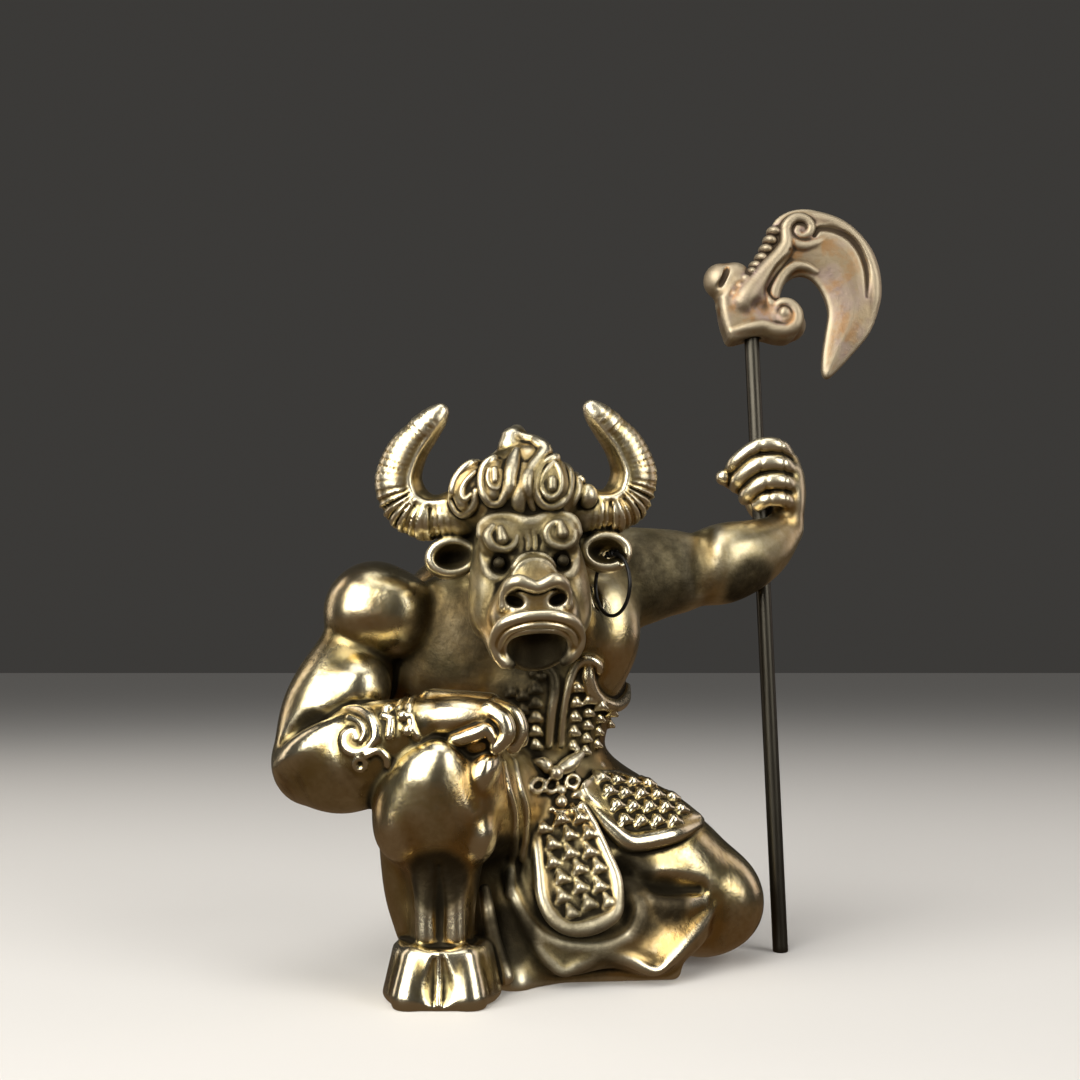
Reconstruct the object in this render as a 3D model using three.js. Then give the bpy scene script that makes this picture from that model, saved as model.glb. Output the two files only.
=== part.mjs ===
// Ox-headed warrior kneeling with a pole arm: a small solid cast figure.
// Millimetres, +Z up, the face looks toward -Y. Everything is modelled in one
// sculpting frame whose floor is z = 0, then moved so that the origin is the
// middle of the bounding box at floor level.
import * as THREE from 'three';

// Driving dimensions.
const ROD_RADIUS = 1.0;
const ROD_FOOT = [31.45, 14.5, 0.0];
const ROD_TOP = [28.88, 14.5, 85.4];
const ROD_SIDES = 28;
const GAP = 0.3;
const BLADE_MIDDLE = 14.5;
const BLADE_RIM = 0.42;
const BLADE_CROWN = 0.95;
const BLOCK_HALF = 2.3;
const EAR_RING_RADIUS = 3.75;
const EAR_WIRE_RADIUS = 0.3;
const EAR_RING_MIDDLE = [8.7, -4.0, 46.9];
const EAR_RING_TURN = -60;
const EAR_RING_PIECES = 20;
const FLOOR_SNAP = 0.14;

// Fineness of the faceted solids.
const FIGURE_GRID = 0.62;
const FIGURE_TRIANGLES = 8100;
const BLADE_GRID = 0.36;
const BLADE_TRIANGLES = 1300;
const FAR = 6.0;
const MARGIN = 0.9;
const SIGHT_STRIDE = 0.25;
const SIGHT_STEPS = 130;
const RING_WIRE_SIDES = 8;

// Limits of one edge collapse: how far a point may move, how much a face may turn and how thin it gets.
const FARTHEST_MOVE = 2.0;
const LEAST_FACING = 0.25;
const LEAST_BREADTH = 0.06;

// Polynomial smooth minimum: min(a, b) - max(k - |a - b|, 0)^2 / (4 k).
function softMin(a, b, k) {
  if (k <= 0) return Math.min(a, b);
  const h = Math.max(k - Math.abs(a - b), 0);
  return Math.min(a, b) - (h * h) / (4 * k);
}

const clamp = (value, low, high) => Math.min(Math.max(value, low), high);
const minus = (a, b) => [a[0] - b[0], a[1] - b[1], a[2] - b[2]];
const dot = (a, b) => a[0] * b[0] + a[1] * b[1] + a[2] * b[2];
const along = (a, d, t) => [a[0] + d[0] * t, a[1] + d[1] * t, a[2] + d[2] * t];
const mix = (a, b, t) => along(a, minus(b, a), t);

// A frame: an origin and three axes (columns), turned about x, then y, then z.
function makeFrame(origin = [0, 0, 0], degrees = [0, 0, 0]) {
  const [a, b, c] = degrees.map((value) => (value * Math.PI) / 180);
  const turn = new THREE.Matrix4().makeRotationFromEuler(new THREE.Euler(a, b, c, 'ZYX'));
  const e = turn.elements;
  return { origin, axes: [[e[0], e[1], e[2]], [e[4], e[5], e[6]], [e[8], e[9], e[10]]] };
}
const WORLD = makeFrame();

function place(frame, p) {
  return [0, 1, 2].map((i) => frame.origin[i] + p[0] * frame.axes[0][i]
    + p[1] * frame.axes[1][i] + p[2] * frame.axes[2][i]);
}
function direct(frame, d) {
  return minus(place(frame, d), frame.origin);
}
function inside(frame, x, y, z) {
  const p = [x - frame.origin[0], y - frame.origin[1], z - frame.origin[2]];
  return [dot(p, frame.axes[0]), dot(p, frame.axes[1]), dot(p, frame.axes[2])];
}

// Catmull-Rom curve through rows of numbers of any width.
function curve(points, steps) {
  const last = points.length - 1;
  const before = points[0].map((v, i) => 2 * v - points[1][i]);
  const after = points[last].map((v, i) => 2 * v - points[last - 1][i]);
  const p = [before, ...points, after];
  const rows = [];
  for (let k = 1; k <= last; k += 1) {
    for (let s = 0; s < steps; s += 1) {
      const t = s / steps;
      rows.push(p[k].map((b, i) => {
        const a = p[k - 1][i];
        const c = p[k + 1][i];
        const d = p[k + 2][i];
        return 0.5 * (2 * b + (c - a) * t + (2 * a - 5 * b + 4 * c - d) * t * t
          + (3 * b - a - 3 * c + d) * t * t * t);
      }));
    }
  }
  rows.push(points[last]);
  return rows;
}

// Shapes are a bounding box and a distance function, negative inside.
function ball(centre, radii, turn = [0, 0, 0], frame = WORLD) {
  const own = makeFrame([0, 0, 0], turn);
  const local = { origin: place(frame, centre), axes: own.axes.map((axis) => direct(frame, axis)) };
  const reach = [0, 1, 2].map((i) => Math.hypot(...local.axes.map((axis, k) => axis[i] * radii[k])));
  const distance = (x, y, z) => {
    const q = inside(local, x, y, z);
    const near = Math.hypot(q[0] / radii[0], q[1] / radii[1], q[2] / radii[2]);
    const steep = Math.hypot(q[0] / radii[0] ** 2, q[1] / radii[1] ** 2, q[2] / radii[2] ** 2);
    return (near * (near - 1)) / (steep + 1e-6);
  };
  return { low: minus(local.origin, reach), high: along(local.origin, reach, 1), distance };
}

// A chain of round cones; radii is one number or one per point.
function limb(points, radii, steps = 0, frame = WORLD) {
  let rows = points.map((p, i) => [...place(frame, p), Array.isArray(radii) ? radii[i] : radii]);
  if (steps > 0) rows = curve(rows, steps).map(([x, y, z, r]) => [x, y, z, Math.max(r, 0.05)]);
  const low = [0, 1, 2].map((i) => Math.min(...rows.map((r) => r[i] - r[3])));
  const high = [0, 1, 2].map((i) => Math.max(...rows.map((r) => r[i] + r[3])));
  const distance = (x, y, z) => {
    let best = Infinity;
    for (let k = 0; k + 1 < rows.length; k += 1) {
      const a = rows[k];
      const b = rows[k + 1];
      const dx = b[0] - a[0];
      const dy = b[1] - a[1];
      const dz = b[2] - a[2];
      const px = x - a[0];
      const py = y - a[1];
      const pz = z - a[2];
      const t = clamp((px * dx + py * dy + pz * dz) / (dx * dx + dy * dy + dz * dz + 1e-9), 0, 1);
      const gap = Math.hypot(px - dx * t, py - dy * t, pz - dz * t) - a[3] - (b[3] - a[3]) * t;
      if (gap < best) best = gap;
    }
    return best;
  };
  return { low, high, distance };
}

// A curved horn: round outside, with a keel and a flat on the side that faces the middle.
function horn(points, radii, middle, frame) {
  const rows = curve(points.map((p, i) => [...place(frame, p), radii[i]]), 4);
  const hub = place(frame, middle);
  const inward = rows.slice(1).map((b, k) => {
    const d = minus(b, rows[k]);
    const w = minus(hub, rows[k]);
    const across = along(w, d, -dot(w, d) / dot(d, d));
    return across.map((v) => v / Math.hypot(...across));
  });
  const low = [0, 1, 2].map((i) => Math.min(...rows.map((r) => r[i] - r[3])));
  const high = [0, 1, 2].map((i) => Math.max(...rows.map((r) => r[i] + r[3])));
  const distance = (x, y, z) => {
    let best = Infinity;
    let facing = 0;
    for (let k = 0; k + 1 < rows.length; k += 1) {
      const a = rows[k];
      const d = minus(rows[k + 1], a);
      const q = [x - a[0], y - a[1], z - a[2]];
      const t = clamp(dot(q, d) / (dot(d, d) + 1e-9), 0, 1);
      const out = along(q, d, -t);
      const size = Math.hypot(...out);
      const gap = size - a[3] - (rows[k + 1][3] - a[3]) * t;
      if (gap < best) {
        best = gap;
        facing = dot(out, inward[k]) / (size + 1e-6);
      }
    }
    const keel = clamp(1 - Math.abs(facing - 0.5) / 0.16, 0, 1);
    const flat = clamp((facing - 0.55) / 0.45, 0, 1);
    return best - 0.22 * keel + 0.25 * flat;
  };
  return { low, high, distance };
}

function slab(centre, half, turn, rounding, frame = WORLD) {
  const own = makeFrame([0, 0, 0], turn);
  const local = { origin: place(frame, centre), axes: own.axes.map((axis) => direct(frame, axis)) };
  const spread = (i) => local.axes.reduce((sum, axis, k) => sum + Math.abs(axis[i]) * half[k], 0);
  const reach = [0, 1, 2].map(spread);
  const distance = (x, y, z) => {
    const q = inside(local, x, y, z).map((v, i) => Math.abs(v) - half[i] + rounding);
    const outer = Math.hypot(Math.max(q[0], 0), Math.max(q[1], 0), Math.max(q[2], 0));
    return outer + Math.min(Math.max(q[0], q[1], q[2]), 0) - rounding;
  };
  return { low: minus(local.origin, reach), high: along(local.origin, reach, 1), distance };
}

// Signed distance to a closed outline of [x, z] pairs.
function toOutline(outline, x, z) {
  let best = Infinity;
  let odd = false;
  for (let k = 0; k < outline.length; k += 1) {
    const [ax, az] = outline[k];
    const [bx, bz] = outline[(k + 1) % outline.length];
    const ex = bx - ax;
    const ez = bz - az;
    const t = clamp(((x - ax) * ex + (z - az) * ez) / (ex * ex + ez * ez + 1e-12), 0, 1);
    best = Math.min(best, Math.hypot(x - ax - ex * t, z - az - ez * t));
    if ((az > z) !== (bz > z) && x < ax + (ex * (z - az)) / ez) odd = !odd;
  }
  return odd ? -best : best;
}

// A plate: an outline in the frame's x and z, thick along its y.
function plate(outline, middle, half, rounding, frame = WORLD) {
  const faces = [middle - half, middle + half];
  const corners = outline.flatMap(([a, b]) => faces.map((y) => place(frame, [a, y, b])));
  const low = [0, 1, 2].map((i) => Math.min(...corners.map((c) => c[i])));
  const high = [0, 1, 2].map((i) => Math.max(...corners.map((c) => c[i])));
  const distance = (x, y, z) => {
    const [u, v, w] = inside(frame, x, y, z);
    const edge = toOutline(outline, u, w) + rounding;
    const face = Math.abs(v - middle) - half + rounding;
    return Math.hypot(Math.max(edge, 0), Math.max(face, 0)) + Math.min(Math.max(edge, face), 0) - rounding;
  };
  return { low, high, distance };
}

// A plate that swells from its rim: half thickness = rim + crown * sqrt(depth inside / width).
function lens(outline, middle, rim, crown, width) {
  const [across, up] = [0, 1].map((axis) => outline.map((p) => p[axis]));
  const thick = rim + crown;
  const low = [Math.min(...across), middle - thick, Math.min(...up)];
  const high = [Math.max(...across), middle + thick, Math.max(...up)];
  const distance = (x, y, z) => {
    const edge = toOutline(outline, x, z);
    const face = Math.abs(y - middle) - rim - crown * Math.sqrt(clamp(-edge / width, 0, 1));
    return edge > 0 && face > 0 ? Math.hypot(edge, face) : Math.max(edge, face);
  };
  return { low, high, distance };
}

// Sculpting clay: a distance field on a regular grid.
class Clay {
  constructor(low, high, step) {
    this.low = low;
    this.step = step;
    this.size = [0, 1, 2].map((i) => Math.ceil((high[i] - low[i]) / step) + 1);
    this.field = new Float32Array(this.size[0] * this.size[1] * this.size[2]).fill(FAR);
  }

  at(i, j, k) {
    return (i * this.size[1] + j) * this.size[2] + k;
  }

  // Replaces the field near a shape by change(field, distance).
  work(shape, reach, change) {
    const { low, step, size, field } = this;
    const from = low.map((v, i) => Math.max(Math.floor((shape.low[i] - reach - v) / step), 0));
    const to = low.map((v, i) => Math.min(Math.ceil((shape.high[i] + reach - v) / step), size[i] - 1));
    for (let i = from[0]; i <= to[0]; i += 1) {
      for (let j = from[1]; j <= to[1]; j += 1) {
        for (let k = from[2]; k <= to[2]; k += 1) {
          const n = this.at(i, j, k);
          const gap = shape.distance(low[0] + i * step, low[1] + j * step, low[2] + k * step);
          field[n] = change(field[n], gap);
        }
      }
    }
  }

  add(shape, blend = 0) {
    this.work(shape, blend + MARGIN, (old, gap) => softMin(old, gap, blend));
  }

  carve(shape, blend = 0) {
    this.work(shape, blend + MARGIN, (old, gap) => -softMin(-old, gap, blend));
  }

  // Thickens the surface inside an outline drawn in the frame's x and z.
  coat(outline, near, far, thick, rounding, frame) {
    const shape = plate(outline, (near + far) / 2, Math.abs(far - near) / 2, 0, frame);
    this.work(shape, MARGIN, (old, gap) => {
      const edge = gap + rounding;
      const skin = old - thick + rounding;
      const outer = Math.hypot(Math.max(edge, 0), Math.max(skin, 0));
      return Math.min(old, outer + Math.min(Math.max(edge, skin), 0) - rounding);
    });
  }

  sample(p) {
    const q = p.map((v, i) => clamp((v - this.low[i]) / this.step, 0, this.size[i] - 1.001));
    const cell = q.map(Math.floor);
    const part = q.map((v, i) => v - cell[i]);
    let sum = 0;
    for (let corner = 0; corner < 8; corner += 1) {
      const bit = [corner & 1, (corner >> 1) & 1, (corner >> 2) & 1];
      const weight = bit.reduce((w, b, i) => w * (b ? part[i] : 1 - part[i]), 1);
      sum += weight * this.field[this.at(cell[0] + bit[0], cell[1] + bit[1], cell[2] + bit[2])];
    }
    return sum;
  }

  // Moves a point along a direction to the surface; null where there is none.
  land(point, way, sink) {
    let before = this.sample(point);
    for (let n = 1; n < SIGHT_STEPS; n += 1) {
      const here = this.sample(along(point, way, n * SIGHT_STRIDE));
      if (here < 0) {
        const t = clamp(before / Math.max(before - here, 1e-6), 0, 1);
        return along(point, way, (n - 1 + t) * SIGHT_STRIDE + sink);
      }
      before = here;
    }
    return null;
  }

  // A ridge (or a groove) that follows the surface, seen along a direction.
  draw(points, radii, way, { frame = WORLD, sink = 0, blend = 0.3, cut = false, closed = false } = {}) {
    let rows = points.map((p, i) => [...p, Array.isArray(radii) ? radii[i] : radii]);
    if (closed) rows.push(rows[0]);
    rows = curve(rows, 4);
    const toward = direct(frame, way);
    const landed = rows.map((r) => this.land(place(frame, r), toward, sink));
    const kept = landed.map((p, i) => (p ? [...p, rows[i][3]] : null)).filter(Boolean);
    const shape = limb(kept, kept.map((r) => r[3]));
    if (cut) this.carve(shape, blend);
    else this.add(shape, blend);
  }

  // Rounds the whole surface a little, as casting does.
  soften() {
    const { field, size } = this;
    const strides = [size[1] * size[2], size[2], 1];
    for (let axis = 0; axis < 3; axis += 1) {
      const old = field.slice();
      for (let i = 0; i < size[0]; i += 1) {
        for (let j = 0; j < size[1]; j += 1) {
          for (let k = 0; k < size[2]; k += 1) {
            const index = [i, j, k][axis];
            const n = this.at(i, j, k);
            if (index > 0 && index < size[axis] - 1) {
              field[n] = 0.25 * old[n - strides[axis]] + 0.5 * old[n] + 0.25 * old[n + strides[axis]];
            }
          }
        }
      }
    }
  }
}

const atDepth = (points, y) => points.map(([x, z]) => [x, y, z]);
const FRONT = [0, 1, 0];
const REAR = [0, -1, 0];

// Frames of the head and of the hanging tassets.
const HEAD = makeFrame([-1.8, -6.0, 50.5], [0, -2.6, 6.0]);
const TASSET = makeFrame([4.2, -4.6, 13.8], [-17.8, -15, 4.7]);
const THIGH = makeFrame([12, 2, 20], [-47.7, 0, 21.8]);
const REAR_HOOF = makeFrame([11.2, 33.2, 5.0], [90, 0, 22]);
const NEAR_HOOF = makeFrame([-11.0, -9.2, 0]);

function torso(c) {
  c.add(ball([-3.0, 8.5, 41.0], [15.2, 8.8, 12.5]));
  c.add(ball([-14.5, 6.0, 37.0], [6.0, 6.0, 8.0]), 3);
  c.add(ball([-2.5, 11, 46.5], [15, 7.6, 6.8]), 3);
  c.add(ball([-9.6, 2.0, 41.5], [7.4, 4.6, 7.8], [0, -8, 0]), 2);
  c.add(ball([6.9, 2.8, 41.0], [5.6, 4.4, 8.0], [0, 8, 0]), 1.6);
  c.add(limb([[0.6, 7.5, 34], [0.9, 6.8, 24.5]], [9.4, 6.4]), 3);
  c.add(ball([1.5, 9.5, 19.5], [9.5, 8, 7]), 4);
  c.add(limb([[-2.0, 9, 47], [-1.8, -2, 49.5]], [8.6, 6.2]), 3);
}

// The apron flares in folds from the belt to a wavy hem over a plain foot.
function cloth(c) {
  const belt = [1.2, 3.5, 22.5];
  const hem = [[-2.6, -3.0, 9.0], [-0.4, -3.6, 5.6], [2.8, -4.0, 3.4], [6.0, -3.6, 4.0],
    [9.6, -3.0, 4.2], [13.0, -2.4, 3.0], [16.0, -0.8, 4.0], [18.6, 1.6, 5.6]];
  for (const end of curve(hem, 2)) {
    const middle = along(mix(belt, end, 0.55), [0, -0.6, 0.4], 1);
    c.add(limb([belt, middle, end], [3.4, 3.0, 2.0], 6), 1.6);
  }
  c.add(limb([[1, 5, 16], [8, 6, 4]], [8, 7]), 2);
  c.add(slab([7.0, 3.0, 1.5], [9.5, 5.6, 1.6], [0, 0, 6], 1.0), 0.8);
  c.add(limb([[-4.6, -1.5, 16], [-4.4, -2.5, 9], [-3.2, -5.6, 2.4]], [1.9, 1.9, 2.0], 6), 1);
  c.add(limb([[-2.4, -0.5, 12], [-1.4, -1.5, 2.0]], [2.8, 3.0]), 1);
  const seat = [1.5, 10.5, 23.0];
  const train = [[-9.5, 13, 2.5], [-6.5, 18.5, 2.0], [-1.5, 22.0, 2.2], [4.0, 23.5, 2.0],
    [9.5, 23.5, 2.4], [14.0, 21.5, 4.0]];
  for (const end of train) {
    const middle = along(mix(seat, end, 0.5), [0, 2.2, 1.6], 1);
    c.add(limb([seat, middle, end], [4.6, 4.4, 2.4], 6), 2);
  }
  c.add(slab([1.5, 12, 3.0], [9.5, 9.0, 3.2], [0, 0, 0], 2.0), 1.5);
}

function kneelingLeg(c) {
  c.add(limb([[4.5, 9, 18.5], [14, 7.5, 13.0], [21.3, 9.2, 7.6]], [8.4, 8.0, 6.8], 8), 2);
  c.add(ball([22.2, 7.6, 8.6], [5.6, 5.0, 6.4], [0, -35, 0]), 1);
  c.add(limb([[20.5, 12, 6.0], [16, 22, 6.0], [11.5, 30, 4.4]], [6.0, 5.8, 3.4], 8), 1.2);
}

function standingLeg(c) {
  c.add(limb([[-2, 7, 19.5], [-10.5, -6.5, 22]], [7.8, 7.4]), 2);
  c.add(ball([-11.8, -10.2, 22.2], [7.2, 6.4, 7.2]), 1.5);
  c.add(ball([-11.9, -12.4, 25.0], [4.4, 4.4, 4.2]), 1);
  c.add(ball([-15.3, -10.5, 19.6], [3.6, 5.0, 4.6]), 0.8);
  c.add(ball([-7.2, -11.2, 18.6], [2.5, 3.6, 3.6]), 0.6);
  c.add(ball([-6.4, -11.6, 25.2], [1.9, 3.8, 3.4], [0, 22, 0]), 0.5);
  c.add(limb([[-13.2, -6.0, 20], [-13.8, -4.8, 12], [-13.2, -6, 7.5]], [5.8, 4.5, 3.6], 8), 1.5);
  c.add(limb([[-11, -9.4, 18], [-10.8, -9.0, 11], [-11, -9, 5.5]], [5.0, 3.9, 4.3], 8), 1);
  for (const x of [-12.8, -9.4]) {
    c.add(limb([[x, -11.6, 15], [x, -11.9, 11], [x + 0.1, -12.2, 7]], [1.3, 1.25, 1.2], 4), 0.8);
  }
}

// Shoulder, upper arm, forearm and wrist of the arm that rests on the knee.
function restingArm(c) {
  c.add(ball([-20.6, 1.0, 43.9], [6.1, 6.4, 6.3], [0, 25, 0]), 1);
  c.add(ball([-17.5, -0.6, 43.5], [4.4, 4.6, 5.2], [0, 10, 0]), 1.2);
  c.add(limb([[-22.8, 1, 38.5], [-24.8, -1.5, 32], [-26.6, -3, 26.5]], [4.8, 6.2, 5.2], 8), 0.7);
  c.add(ball([-22.2, -3.6, 34.2], [4.6, 4.0, 4.0], [0, -35, 0]), 0.8);
  c.add(limb([[-26.8, -3.6, 25.6], [-22.0, -6.8, 26.2], [-16.5, -10.3, 29.0], [-12.6, -12, 31.0]],
    [5.0, 5.9, 4.1, 2.5], 8), 0.7);
}

function staffArm(c) {
  c.add(ball([11.2, 9.0, 48.4], [7.4, 6.6, 6.2], [0, 8, 0]), 2);
  c.add(limb([[12, 9, 49.2], [17.0, 10, 49.4], [20.3, 10.6, 49.7]], [6.0, 5.6, 4.5], 8), 1);
  c.add(limb([[20.4, 10.8, 49.6], [24.2, 11.4, 50.7], [29.2, 13.4, 52.6], [33.2, 15.2, 55.6]],
    [4.4, 5.3, 4.2, 2.5], 8), 0.5);
  c.add(ball([34.0, 15.6, 60.3], [1.9, 3.0, 5.2]), 1.2);
  c.add(ball([31.6, 17.8, 61.0], [3.8, 1.8, 4.6]), 1);
}

function headMass(c) {
  const f = HEAD;
  c.add(ball([0, 0.5, 1.0], [6.3, 6.4, 6.0], [0, 0, 0], f), 1);
  c.add(ball([0, -2.9, -2.2], [6.5, 4.6, 7.4], [0, 0, 0], f), 0.8);
  c.add(slab([0, -5.2, 1.6], [5.7, 2.0, 2.3], [8, 0, 0], 1.2, f), 0.7);
  for (const s of [-1, 1]) {
    c.add(ball([s * 4.75, -3.0, -4.6], [2.35, 4.3, 5.6], [0, -7 * s, 0], f), 0.8);
    c.add(limb([[s * 4.4, -4, -7.5], [s * 3.7, -8.2, -11.6]], [2.2, 1.6], 0, f), 1.2);
  }
  c.add(limb([[-1.1, -8.3, -5.5], [1.1, -8.3, -5.5]], 2.9, 0, f), 0.8);
  c.add(limb([[-2.2, -8.0, -7.6], [2.2, -8.0, -7.6]], 2.9, 0, f), 0.8);
  c.add(ball([0, -5, -10.4], [4.6, 4.6, 3.6], [0, 0, 0], f), 1);
  c.add(ball([-0.9, -1.2, 6.8], [7.9, 5.8, 4.9], [0, 0, 0], f), 0.6);
  c.add(ball([0.2, -1.2, 10.2], [4.2, 4.2, 2.9], [0, 0, 0], f), 0.8);
  c.add(limb([[0.0, -1.0, 11.6], [-0.3, -0.7, 14.9]], [2.1, 0.7], 0, f), 0.6);
}

// A hoof flares from the fetlock to the sole, with two toes and a cleft.
function hoof(c, f) {
  c.add(limb([[0, 0, 6.1], [0, -0.1, 4.2], [0, -0.2, 1.3]], [4.5, 5.4, 6.5], 4, f), 0.35);
  for (const s of [-1, 1]) {
    c.add(limb([[s * 1.35, -3.2, 5.9], [s * 1.55, -4.0, 3.8], [s * 1.75, -4.6, 1.2]],
      [1.7, 1.9, 2.15], 4, f), 0.5);
    c.carve(limb([[s * 3.3, -3.9, 6.0], [s * 3.9, -5.6, 3.2], [s * 4.4, -6.4, 0.2]],
      [0.35, 0.45, 0.5], 4, f), 0.8);
  }
  c.carve(limb([[0, -5.4, 6.6], [0, -6.4, 3.6], [0, -7.6, 0.2]], [0.35, 0.45, 0.55], 4, f), 0.8);
}

function hooves(c) {
  hoof(c, NEAR_HOOF);
  c.add(limb([[-11, -9, 7.2], [-11, -9.1, 6.0]], [4.2, 4.4]), 0.3);
  const slit = [[-8.4, -16.6, 27.4], [-7.6, -16.4, 24.4], [-6.6, -15.6, 21.8]];
  c.carve(limb(slit, [0.4, 0.5, 0.5], 4), 0.6);
  hoof(c, REAR_HOOF);
  c.carve(slab([0, 0, -5], [9, 9, 5], [0, 0, 0], 0.2, REAR_HOOF), 0.3);
}

function horns(c) {
  const line = [[6.0, 0.5, 5.2, 2.6], [8.6, 0.7, 4.9, 2.75], [11.2, 1.4, 5.0, 3.0], [13.3, 1.9, 6.6, 3.15],
    [14.1, 1.7, 9.5, 2.9], [13.0, 1.0, 12.7, 2.4], [11.0, 0.1, 15.2, 1.8], [9.5, -0.6, 16.8, 1.15],
    [8.7, -1.0, 17.6, 0.55]];
  for (const s of [-1, 1]) {
    const k = s < 0 ? -0.4 : -0.3;
    const points = line.map(([x, y, z]) => [s * x + k, y, z]);
    c.add(horn(points, line.map((row) => row[3]), [s * 9.6 + k, 0.9, 11.2], HEAD), 0.35);
    c.add(limb([[s * 6.0, 0.4, 5.2], [s * 7.4 + k, 0.6, 5.0]], [2.9, 3.0], 0, HEAD), 0.5);
  }
}

function ears(c) {
  for (const s of [-1, 1]) {
    const x = s * 9.3 + 0.5;
    c.add(limb([[s * 5.5, 1.2, 0.8], [s * 8, 1.0, 0.1]], [1.9, 1.7], 0, HEAD), 0.5);
    c.add(ball([x, 0.6, -0.2], [3.15, 1.9, 2.55], [0, 6 * s, 0], HEAD), 0.5);
    const rim = ring([x, -0.2], 2.5, 1.9, 16).map(([a, b]) => [a, -0.7, b]);
    c.add(limb([...rim, rim[0]], 0.45, 2, HEAD), 0.9);
    c.carve(ball([x - 0.2 * s, -1.7, -0.15], [2.15, 3.3, 1.5], [0, 6 * s, 0], HEAD), 0.35);
  }
}

function ring([x, z], wide, tall, count) {
  const list = [];
  for (let n = 0; n < count; n += 1) {
    const a = (2 * Math.PI * n) / count;
    list.push([x + wide * Math.sin(a), z + tall * Math.cos(a)]);
  }
  return list;
}

// Brow curls, eyes, bridge, nostrils and the drooping upper lip.
function face(c) {
  const f = HEAD;
  for (const s of [-1, 1]) {
    c.carve(ball([s * 3.6, -7.6, -1.75], [1.75, 1.7, 1.45], [0, 0, 0], f), 0.4);
    c.add(ball([s * 3.5, -6.75, -1.85], [0.9, 0.9, 0.9], [0, 0, 0], f), 0.1);
    c.add(ball([s * 3.6, -6.5, 1.6], [2.15, 1.5, 2.0], [0, 0, 0], f), 0.5);
    const curl = [[2.1, 2.9], [1.9, 1.5], [2.4, 0.2], [3.6, -0.35], [4.9, 0.3], [5.25, 1.6], [4.8, 2.8]];
    c.draw(atDepth(curl.map(([x, z]) => [s * x, z]), -16), 0.5, FRONT, { frame: f, blend: 0.15 });
    c.add(ball([s * 3.75, -7.75, 1.65], [0.9, 0.8, 0.9], [0, 0, 0], f), 0.1);
    const lid = [[5.75, 0.0], [5.6, -1.9], [4.7, -3.35], [3.5, -3.75], [2.5, -3.3]];
    c.draw(atDepth(lid.map(([x, z]) => [s * x, z]), -16), 0.4, FRONT, { frame: f, blend: 0.2 });
  }
  c.add(slab([0, -8.1, -2.8], [2.35, 1.7, 1.9], [34, 0, 0], 1.4, f), 0.9);
  c.add(limb([[-3.2, -10.6, -5.6], [-2.9, -11.3, -4.6], [-2.0, -11.9, -4.1], [0, -12.0, -4.8],
    [2.0, -11.9, -4.1], [2.9, -11.3, -4.6], [3.2, -10.6, -5.6]], 0.7, 4, f), 0.4);
  c.add(limb([[-1.3, -11.3, -6.3], [0, -11.7, -6.0], [1.3, -11.3, -6.3]], 0.62, 4, f), 0.4);
  for (const s of [-1, 1]) {
    c.add(limb([[s * 3.45, -10.6, -5.4], [s * 3.65, -10.4, -6.7]], 0.6, 0, f), 0.4);
    c.carve(ball([s * 2.45, -12.1, -5.95], [1.15, 2.6, 0.85], [0, -14 * s, 0], f), 0.2);
  }
  c.carve(ball([0.1, -11.0, -11.2], [3.9, 3.6, 3.0], [0, 0, 0], f), 0.3);
  c.carve(limb([[0.1, -10, -11.5], [0.1, -9.5, -16]], [3.2, 3.4], 0, f), 0.3);
  c.add(limb([[-3.7, -9.2, -13.0], [-4.5, -9.5, -12.0], [-4.8, -9.9, -10.4], [-4.0, -11.2, -8.8],
    [-2.3, -12.2, -8.1], [0, -12.5, -7.9], [2.3, -12.2, -8.1], [4.0, -11.2, -8.8], [4.8, -9.9, -10.2],
    [4.7, -9.5, -11.4], [4.1, -9.2, -12.2]], [0.7, 0.65, 0.65, 0.7, 0.8, 0.8, 0.8, 0.7, 0.65, 0.65, 0.7],
  4, f), 0.3);
}

// A teardrop, point up: x = half sin(t) sin(t/2)^0.8, z = tall cos(t), leaning.
function drop([x, z], half, tall, lean) {
  const list = [];
  for (let n = 0; n < 14; n += 1) {
    const t = (2 * Math.PI * n) / 14;
    const wide = 1.15 * half * Math.sin(t) * Math.sin(t / 2) ** 0.8;
    list.push([x + wide + lean * Math.cos(t), z + tall * Math.cos(t)]);
  }
  return list;
}

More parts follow.
